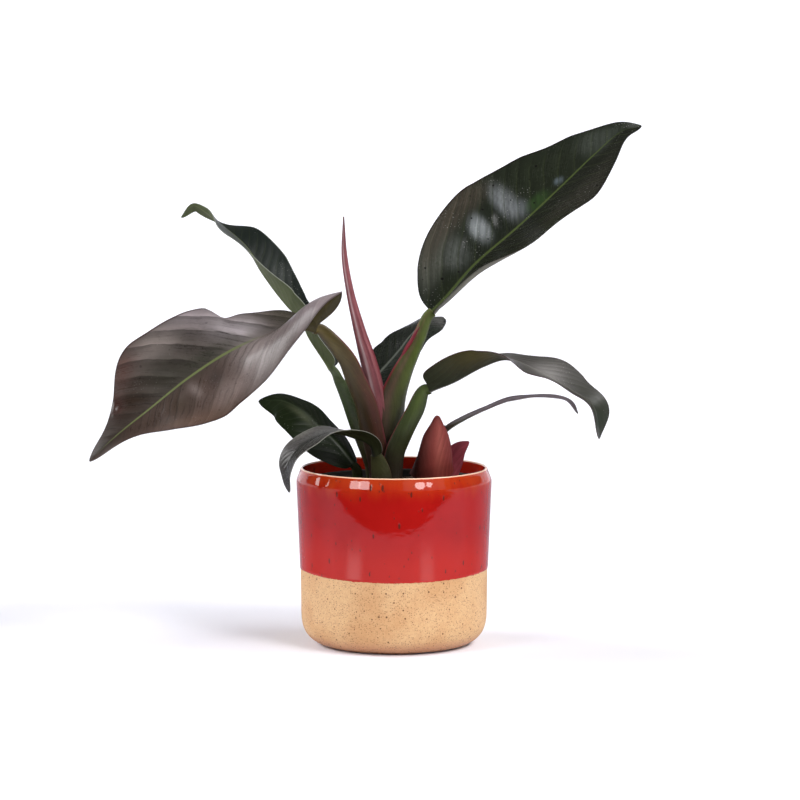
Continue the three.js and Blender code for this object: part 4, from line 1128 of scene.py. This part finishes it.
def potMaterial():
    # red glaze above a ragged edge, orange where it runs thin under the lip, with dark specks drawn out
    # downwards; the bare clay below is sandy, with fine dark specks
    pot = glazedPot
    material, tree, shader = newMaterial("potGlazeAndClay")
    place = objectPlace(tree)
    x, y, z = parts(tree, place)
    height = math(tree, "DIVIDE", z, mm)
    around = times(tree, math(tree, "ARCTAN2", x, times(tree, y, -1)), pot["wallRadius"])
    wall = joined(tree, around, height)
    outer = attribute(tree, "outer", "Fac")
    ragged = times(tree, minus(tree, noise(tree, place, 500, 3), 0.5), 1.6)
    turn = math(tree, "ARCTAN2", y, x)
    bow = times(tree, math(tree, "COSINE", times(tree, turn, 2)), pot["edgeBow"])
    over = minus(tree, plus(tree, height, ragged), plus(tree, bow, pot["edgeHeight"]))
    glazed = math(tree, "MAXIMUM", ramp(tree, over, -0.15, 0.15), minus(tree, 1.0, outer), clamp=True)
    cloud = noise(tree, place, 26, 3)
    runs = noise(tree, joined(tree, around, times(tree, height, 0.2)), 0.09, 3, 0.55)
    drop = times(tree, minus(tree, runs, 0.5), 26)
    top = times(tree, ramp(tree, plus(tree, height, drop), *pot["orangeHeights"]), 0.95)
    top = times(tree, top, math(tree, "MULTIPLY_ADD", outer, 0.6, 0.4))
    glaze = mixTone(tree, ramp(tree, cloud, 0.35, 0.7), toneOf(pot["glaze"]), toneOf(pot["glazeDeep"]))
    # the lighter red towards the bottom is a painted reflection of the pale floor
    glaze = mixTone(tree, ramp(tree, height, *pot["floorReflectionHeights"]), glaze, toneOf(pot["glazeFloorReflection"]))
    glaze = mixTone(tree, top, glaze, toneOf(pot["glazeTop"]))
    speck = marks(tree, wall, scale=0.115, share=0.45, size=0.08, stretch=2.8)
    small = marks(tree, wall, scale=0.3, share=0.12, size=0.13, stretch=1.8)
    speck = math(tree, "MAXIMUM", speck, times(tree, small, 0.75))
    glaze = mixTone(tree, times(tree, speck, 0.8), glaze, toneOf(pot["speckle"]))
    lip = times(tree, ramp(tree, height, *pot["lipHeights"]), 0.9)
    glaze = mixTone(tree, lip, glaze, toneOf(pot["lip"]))
    grain = noise(tree, place, 700, 4, 0.7)
    wide = noise(tree, place, 30, 3)
    clay = mixTone(tree, ramp(tree, wide, 0.35, 0.65), toneOf(pot["clay"]), toneOf(pot["clayPale"]))
    # the darker brown towards the foot is painted shade where the base curves under
    foot = times(tree, ramp(tree, height, *pot["footShadeHeights"]), 0.7)
    clay = mixTone(tree, foot, clay, toneOf(pot["clayFootShade"]))
    clay = mixTone(tree, times(tree, ramp(tree, grain, 0.35, 0.65), 0.28), clay, toneOf(pot["clayGrain"]))
    fine = marks(tree, wall, scale=0.75, share=0.45, size=0.28)
    coarse = marks(tree, wall, scale=0.17, share=0.4, size=0.1)
    pepper = math(tree, "MAXIMUM", times(tree, fine, 0.6), coarse)
    clay = mixTone(tree, times(tree, pepper, 0.9), clay, toneOf(pot["pepper"]))
    tone = mixTone(tree, glazed, clay, glaze)
    tree.links.new(tone, shader.inputs["Base Color"])
    smooth = math(tree, "MULTIPLY_ADD", noise(tree, place, 90, 2), 0.03, 0.02)
    matt = math(tree, "MULTIPLY_ADD", grain, 0.2, 0.5)
    bare = minus(tree, 1.0, glazed)
    rough = plus(tree, times(tree, glazed, smooth), times(tree, bare, matt))
    tree.links.new(rough, shader.inputs["Roughness"])
    shader.inputs["Specular IOR Level"].default_value = pot["gloss"]
    sand = times(tree, bare, minus(tree, grain, pepper))
    swell = times(tree, noise(tree, place, 45, 2), 0.7)
    ripple = math(tree, "MULTIPLY_ADD", noise(tree, place, 190, 3), 0.18, swell)
    ripple = times(tree, glazed, ripple)
    sink = times(tree, speck, -0.25)
    bump(tree, shader, plus(tree, plus(tree, sand, ripple), sink), 0.25 * mm, 0.6)
    return material


nurseryCup = {
    "profile": [
        (0, 6.3), (48, 6.3), (50, 8.3), (62, 115), (63, 115.4), (63, 118.6), (62.4, 119), (60.5, 119),
        (60.5, 115.3), (48.5, 9.3), (46.5, 7.8), (0, 7.8),
    ],
    "segments": 160,
    "tone": "#0d0d0c",
    "dust": "#4a4038",
    "rough": 0.7,
}


def nurseryMaterial():
    # black moulded plastic with a fine grain and dust
    material, tree, shader = newMaterial("nurseryPlastic")
    place = objectPlace(tree)
    dust = ramp(tree, noise(tree, place, 120, 4), 0.5, 0.75)
    tone = mixTone(tree, times(tree, dust, 0.35), toneOf(nurseryCup["tone"]), toneOf(nurseryCup["dust"]))
    tree.links.new(tone, shader.inputs["Base Color"])
    rough = math(tree, "MULTIPLY_ADD", dust, 0.3, nurseryCup["rough"])
    tree.links.new(rough, shader.inputs["Roughness"])
    bump(tree, shader, noise(tree, place, 900, 2), 0.05 * mm, 0.6)
    return material


stemFinish = {"bark": "#5a4a2e", "scar": "#3a2d1d", "ringGap": 3.2, "segments": 72, "step": 0.6}
stems = [
    # where it stands, and its radius at the top and down in the soil, in mm
    {"name": "mainStem", "node": "main_stem", "centre": (-5, -3), "top": 17.5, "deep": 9},
    {"name": "leftStem", "node": "left_stem", "centre": (-24, 7), "top": 7.5, "deep": 5},
    {"name": "rightStem", "node": "right_stem", "centre": (32, 9), "top": 14, "deep": 8},
]


def stemProfile(top, deep):
    # radius and height from the axis below, out round the stem and back to the axis on top
    return [
        (0, 84), (deep * 0.8, 84), (deep, 87), (deep * 1.05, 104), (top * 0.93, 112), (top, 115.5),
        (top * 0.96, 117.7), (0, 117.7),
    ]


def stemShape(radius, height, turn):
    # ring scars and slight lumps on the bark
    ring = 0.25 * np.sin(2 * np.pi * height / stemFinish["ringGap"])
    lump = 0.3 * np.sin(3 * turn + 0.4 * height) + 0.2 * np.sin(7 * turn - 0.3 * height)
    return np.maximum(radius + (ring + lump) * smoothStep(2, 6, radius), 0.1), height


def stemMaterial():
    # brown-green bark with darker ring scars
    material, tree, shader = newMaterial("stemBark")
    place = objectPlace(tree)
    _, _, z = parts(tree, place)
    rings = math(tree, "SINE", times(tree, z, 2 * np.pi / (stemFinish["ringGap"] * mm)))
    mottle = noise(tree, place, 160, 4)
    share = ramp(tree, plus(tree, rings, mottle), 0.4, 1.4)
    tone = mixTone(tree, share, toneOf(stemFinish["bark"]), toneOf(stemFinish["scar"]))
    tree.links.new(tone, shader.inputs["Base Color"])
    shader.inputs["Roughness"].default_value = 0.75
    bump(tree, shader, mottle, 0.5 * mm, 0.8)
    return material


# Soil

soilBed = {
    "height": 112.6, "radius": 60.0, "bottom": 8.1, "footRadius": 46.2,
    "rings": 90, "spokes": 240,
    "tone": "#2a1f17", "dryTone": "#5d4a38", "barkTone": "#6b4a2e", "pumiceTone": "#b9b3a6",
    "crumbs": 420, "crumbSizes": (0.8, 3.4), "crumbSpread": 58,
}


def soilHeight(x, y):
    # broad lumps as in the solid, with smaller ones on them: products and sums of sine waves in x and y
    broad = 0.9 * np.sin(0.31 * x + 1) * np.cos(0.27 * y) + 0.5 * np.sin(0.8 * x - 0.6 * y)
    small = 0.45 * np.sin(1.9 * x + 0.7 * y) * np.sin(1.6 * y - 0.4 * x)
    fine = 0.25 * np.sin(4.1 * x + 2) * np.sin(3.7 * y + 1) + 0.2 * np.sin(6.3 * (x + y))
    return soilBed["height"] + broad + small + fine


def addSoil(material):
    # a disc of rings, its top shaped by soilHeight, closed by a wall and a floor
    radius = np.linspace(0.5, soilBed["radius"], soilBed["rings"])
    turn = np.linspace(0, 2 * np.pi, soilBed["spokes"], endpoint=False)
    radius, turn = np.meshgrid(radius, turn, indexing="ij")
    x, y = radius * np.cos(turn), radius * np.sin(turn)
    top = np.stack([x, y, soilHeight(x, y)], -1)
    ring = turn[:1]
    foot = soilBed["footRadius"]
    low = np.stack([foot * np.cos(ring), foot * np.sin(ring), np.full_like(ring, soilBed["bottom"])], -1)
    point = np.concatenate([top, low])
    rows, columns = point.shape[:2]
    ends = np.array([[0, 0, soilHeight(0.0, 0.0)], [0, 0, soilBed["bottom"]]])
    points = np.concatenate([point.reshape(-1, 3), ends])
    caps = closingFans(rows, columns, len(points))
    piece = addMesh("pottingSoil", points, gridQuads(rows, columns, around=True), caps)
    print("soil", len(points), "points")
    return settle(piece, material, "potting_mix", "potting_soil")


def addCrumbs(material):
    # small lumps of soil, bark and pumice: one lumpy ball repeated, stretched and turned by a seeded draw
    draw = np.random.default_rng(11)
    count = soilBed["crumbs"]
    bands, around = 5, 9
    polar = np.linspace(0, np.pi, bands + 2)[1:-1]
    turn = np.linspace(0, 2 * np.pi, around, endpoint=False)
    polar, turn = np.meshgrid(polar, turn, indexing="ij")
    ball = np.stack([np.sin(polar) * np.cos(turn), np.sin(polar) * np.sin(turn), np.cos(polar)], -1)
    ball = np.concatenate([ball.reshape(-1, 3), [[0, 0, 1], [0, 0, -1]]])
    size = draw.uniform(*soilBed["crumbSizes"], count) * draw.uniform(0.5, 1, count)
    stretch = draw.uniform(0.5, 1.3, (count, 3))
    lumpy = 1 + draw.uniform(-0.22, 0.22, (count, len(ball), 1))
    local = ball[None] * lumpy * stretch[:, None] * size[:, None, None] * 0.5
    yaw, tip = draw.uniform(0, 2 * np.pi, count), draw.uniform(-0.8, 0.8, count)
    cosT, sinT = np.cos(tip)[:, None], np.sin(tip)[:, None]
    cosY, sinY = np.cos(yaw)[:, None], np.sin(yaw)[:, None]
    x, y, z = np.moveaxis(local, -1, 0)
    x, z = x * cosT - z * sinT, x * sinT + z * cosT
    x, y = x * cosY - y * sinY, x * sinY + y * cosY
    far = soilBed["crumbSpread"] * np.sqrt(draw.uniform(0, 1, count))
    way = draw.uniform(0, 2 * np.pi, count)
    centreX, centreY = far * np.cos(way), far * np.sin(way)
    centreZ = soilHeight(centreX, centreY) + 0.15 * size
    points = np.stack([x + centreX[:, None], y + centreY[:, None], z + centreZ[:, None]], -1)
    quads = gridQuads(bands, around, around=True)
    caps = closingFans(bands, around, len(ball))
    start = (np.arange(count) * len(ball))[:, None, None]
    kind = np.repeat(draw.uniform(0, 1, count), len(ball))
    piece = addMesh(
        "soilCrumbs", points.reshape(-1, 3), (quads[None] + start).reshape(-1, 4),
        (caps[None] + start).reshape(-1, 3), {"kind": kind},
    )
    print("crumbs", count)
    return settle(piece, material, "potting_mix")


def soilMaterial(name, crumbs=False):
    # dark damp mix with drier lumps; the crumbs vary from soil to bark to pale pumice
    material, tree, shader = newMaterial(name)
    place = objectPlace(tree)
    grain = noise(tree, place, 480, 5, 0.7)
    tone = mixTone(tree, ramp(tree, grain, 0.42, 0.68), toneOf(soilBed["tone"]), toneOf(soilBed["dryTone"]))
    if crumbs:
        kind = attribute(tree, "kind", "Fac")
        isBark, isPumice = times(tree, ramp(tree, kind, 0.55, 0.6), 0.8), ramp(tree, kind, 0.965, 0.97)
        tone = mixTone(tree, isBark, tone, toneOf(soilBed["barkTone"]))
        tone = mixTone(tree, isPumice, tone, toneOf(soilBed["pumiceTone"]))
    tree.links.new(tone, shader.inputs["Base Color"])
    shader.inputs["Roughness"].default_value = 0.9
    bump(tree, shader, grain, 0.8 * mm, 0.9)
    return material


# Floor and backdrop

def addPlain(name, points, faces, material, reflectedOnly=False):
    # a stage piece; reflectedOnly keeps it to glossy reflections, out of sight and without a shadow
    mesh = bpy.data.meshes.new(name)
    mesh.from_pydata((points.reshape(-1, 3) * mm).tolist(), [], faces)
    mesh.materials.append(material)
    piece = bpy.data.objects.new(name, mesh)
    bpy.context.scene.collection.objects.link(piece)
    if reflectedOnly:
        piece.visible_camera = False
        piece.visible_diffuse = False
        piece.visible_transmission = False
        piece.visible_shadow = False
    return mesh


def stageMaterial(name, tone, rough, gloss):
    # one plain colour
    material, tree, shader = newMaterial(name)
    shader.inputs["Base Color"].default_value = (*tone, 1)
    shader.inputs["Roughness"].default_value = rough
    shader.inputs["Specular IOR Level"].default_value = gloss
    return material, tree, shader


def addStage():
    # a round floor that turns up into a low wall on one bend, the same on every side of the plant: rings of
    # 96 points at a distance out and a height up
    bend = np.linspace(0, np.pi / 2, 16)
    out = studio["floorRound"] + studio["wallRound"] * np.sin(bend)
    up = studio["wallRound"] * (1 - np.cos(bend))
    out = np.concatenate([[1, 400, 1500, 3000], out, out[-1:]])[:, None]
    up = np.concatenate([[0, 0, 0, 0], up, [studio["wallHigh"]]])[:, None]
    sides = 96
    turn = np.linspace(0, 2 * np.pi, sides, endpoint=False)
    points = np.stack([out * np.cos(turn), out * np.sin(turn), up + 0 * turn], -1)
    quads = gridQuads(len(out), sides, around=True)[:, ::-1].tolist()
    middle = [list(range(sides))[::-1]]
    material, _, _ = stageMaterial("paperWhite", toneOf(studio["floorTone"]), **studio["paper"])
    mesh = addPlain("studioFloor", points, quads + middle, material)
    mesh.polygons.foreach_set("use_smooth", np.ones(len(mesh.polygons), bool))


def addFlag():
    # the studio's dark front: a black card on the floor, from an arc about its centre straight outwards to a
    # far edge, where it stands up
    steps = 33
    x = np.linspace(*studio["flagSides"], steps)
    near = studio["flagCentre"][1] - np.sqrt(studio["flagRadius"] ** 2 - (x - studio["flagCentre"][0]) ** 2)
    spread = np.radians(np.linspace(-studio["flagSpread"], studio["flagSpread"], steps))
    farX, farY = x + studio["flagLong"] * np.sin(spread), near - studio["flagLong"] * np.cos(spread)
    high = np.repeat([[studio["flagLow"]], [studio["flagLow"]], [studio["flagHigh"]]], steps, 1)
    points = np.stack([np.stack([x, farX, farX]), np.stack([near, farY, farY]), high], -1)
    material, _, _ = stageMaterial("flagBlack", studio["flagTone"], rough=1, gloss=0)
    addPlain("blackFlag", points, gridQuads(3, steps).tolist(), material, reflectedOnly=True)


def addSheen():
    # the floor as only glossy reflections show it: white in front, grey at the sides and behind, with the
    # light boxes mirrored in it close to the plant
    reach = np.geomspace(*studio["sheenReach"], 40)
    reach, azimuth = np.meshgrid(reach, np.arange(-180.0, 181, 2), indexing="ij")
    turn = np.radians(azimuth)
    points = np.stack([-reach * np.sin(turn), -reach * np.cos(turn), 0 * reach + studio["sheenUp"]], -1)
    grey = smoothStep(*studio["sheenTurn"], np.abs(azimuth))
    shade = 1 - (1 - studio["sheenGrey"]) * grey
    glow = 0 * reach
    for centre, half, strength in studio["sheenGlow"]:
        glow = glow + strength * np.exp(-(((azimuth - centre) / half) ** 4))
    glow = glow * (1 - smoothStep(*studio["sheenGlowReach"], reach))
    sheenTone = toneOf(studio["sheenTone"])
    material, tree, shader = stageMaterial("sheenPaper", sheenTone, **studio["paper"])
    faces = gridQuads(*reach.shape)[:, ::-1].tolist()
    mesh = addPlain("sheenFloor", points, faces, material, reflectedOnly=True)
    for key, values in (("shade", shade), ("glow", glow)):
        layer = mesh.attributes.new(key, "FLOAT", "POINT")
        layer.data.foreach_set("value", values.ravel().astype(np.float32))
    shade = attribute(tree, "shade", "Fac")
    tone = mixTone(tree, 1.0, sheenTone, joined(tree, shade, shade, shade), "MULTIPLY")
    tree.links.new(tone, shader.inputs["Base Color"])
    shader.inputs["Emission Color"].default_value = (1, 1, 1, 1)
    tree.links.new(attribute(tree, "glow", "Fac"), shader.inputs["Emission Strength"])


def addWorld():
    # a little even light from all round
    world = bpy.data.worlds.new("studioAir")
    world.use_nodes = True
    bpy.context.scene.world = world
    air = world.node_tree.nodes["Background"]
    air.inputs["Color"].default_value = (*toneOf(studio["airTone"]), 1)
    air.inputs["Strength"].default_value = studio["airStrength"]


# Making it all

addCamera()
addWorld()
addStage()
addFlag()
addSheen()
for box in softBoxes:
    addBox(box)
bpy.context.scene.view_settings.view_transform = "Standard"
print("camera and light ready")

for name, leaf, slot, node in (
    ("tallBlade", tallLeaf, "dark_leaf", "tall_blade"),
    ("broadBlade", broadLeaf, "grey_leaf", "broad_blade"),
    ("twistedBlade", twistedLeaf, "dark_leaf", "twisted_blade"),
    ("rearBlade", rearLeaf, "dark_leaf", "rear_blade"),
    ("archingBlade", archingLeaf, "grey_leaf", "arching_blade"),
    ("slenderBlade", slenderLeaf, "dark_leaf", "slender_blade"),
    ("lowBlade", lowLeaf, "dark_leaf", "low_blade"),
    ("droopingBlade", droopingLeaf, "grey_leaf", "drooping_blade"),
    ("frontSheath", frontSheath, "red_sheath", "front_cataphyll"),
    ("rearSheath", rearSheath, "red_sheath", "rear_cataphyll"),
):
    addBlade(name, leaf, bladeMaterial(name + "Skin", leaf), slot, node)

stalkSkin = stalkMaterial("stalkSkin")
for name, shape, slot, node in (
    ("tallPetiole", tallPetiole, "green_petiole", "tall_petiole"),
    ("broadPetiole", broadPetiole, "brown_petiole", "broad_petiole"),
    ("twistedPetiole", twistedPetiole, "green_petiole", "twisted_petiole"),
    ("rearPetiole", rearPetiole, "green_petiole", "rear_petiole"),
    ("archingPetiole", archingPetiole, "green_petiole", "arching_petiole"),
    ("slenderPetiole", slenderPetiole, "green_petiole", "slender_petiole"),
    ("lowPetiole", lowPetiole, "green_petiole", "low_petiole"),
    ("droopingPetiole", droopingPetiole, "green_petiole", "drooping_petiole"),
    ("tallWing", tallWing, "green_petiole", None),
    ("newLeaf", newLeaf, "red_leaf", "new_leaf"),
):
    addStalk(name, shape, stalkSkin, slot, node)

addTurned(
    "glazedPot", glazedPot["profile"], glazedPot["segments"], potMaterial(), "red_glaze", "ceramic_pot",
    shape=glazedShape, step=glazedPot["step"],
)
addTurned(
    "nurseryCup", nurseryCup["profile"], nurseryCup["segments"], nurseryMaterial(), "nursery_plastic",
    "nursery_pot",
)
bark = stemMaterial()
for stem in stems:
    addTurned(
        stem["name"], stemProfile(stem["top"], stem["deep"]), stemFinish["segments"], bark, "stem_bark",
        stem["node"], stem["centre"], stemShape, stemFinish["step"],
    )
addSoil(soilMaterial("soilMix"))
addCrumbs(soilMaterial("soilCrumbMix", crumbs=True))
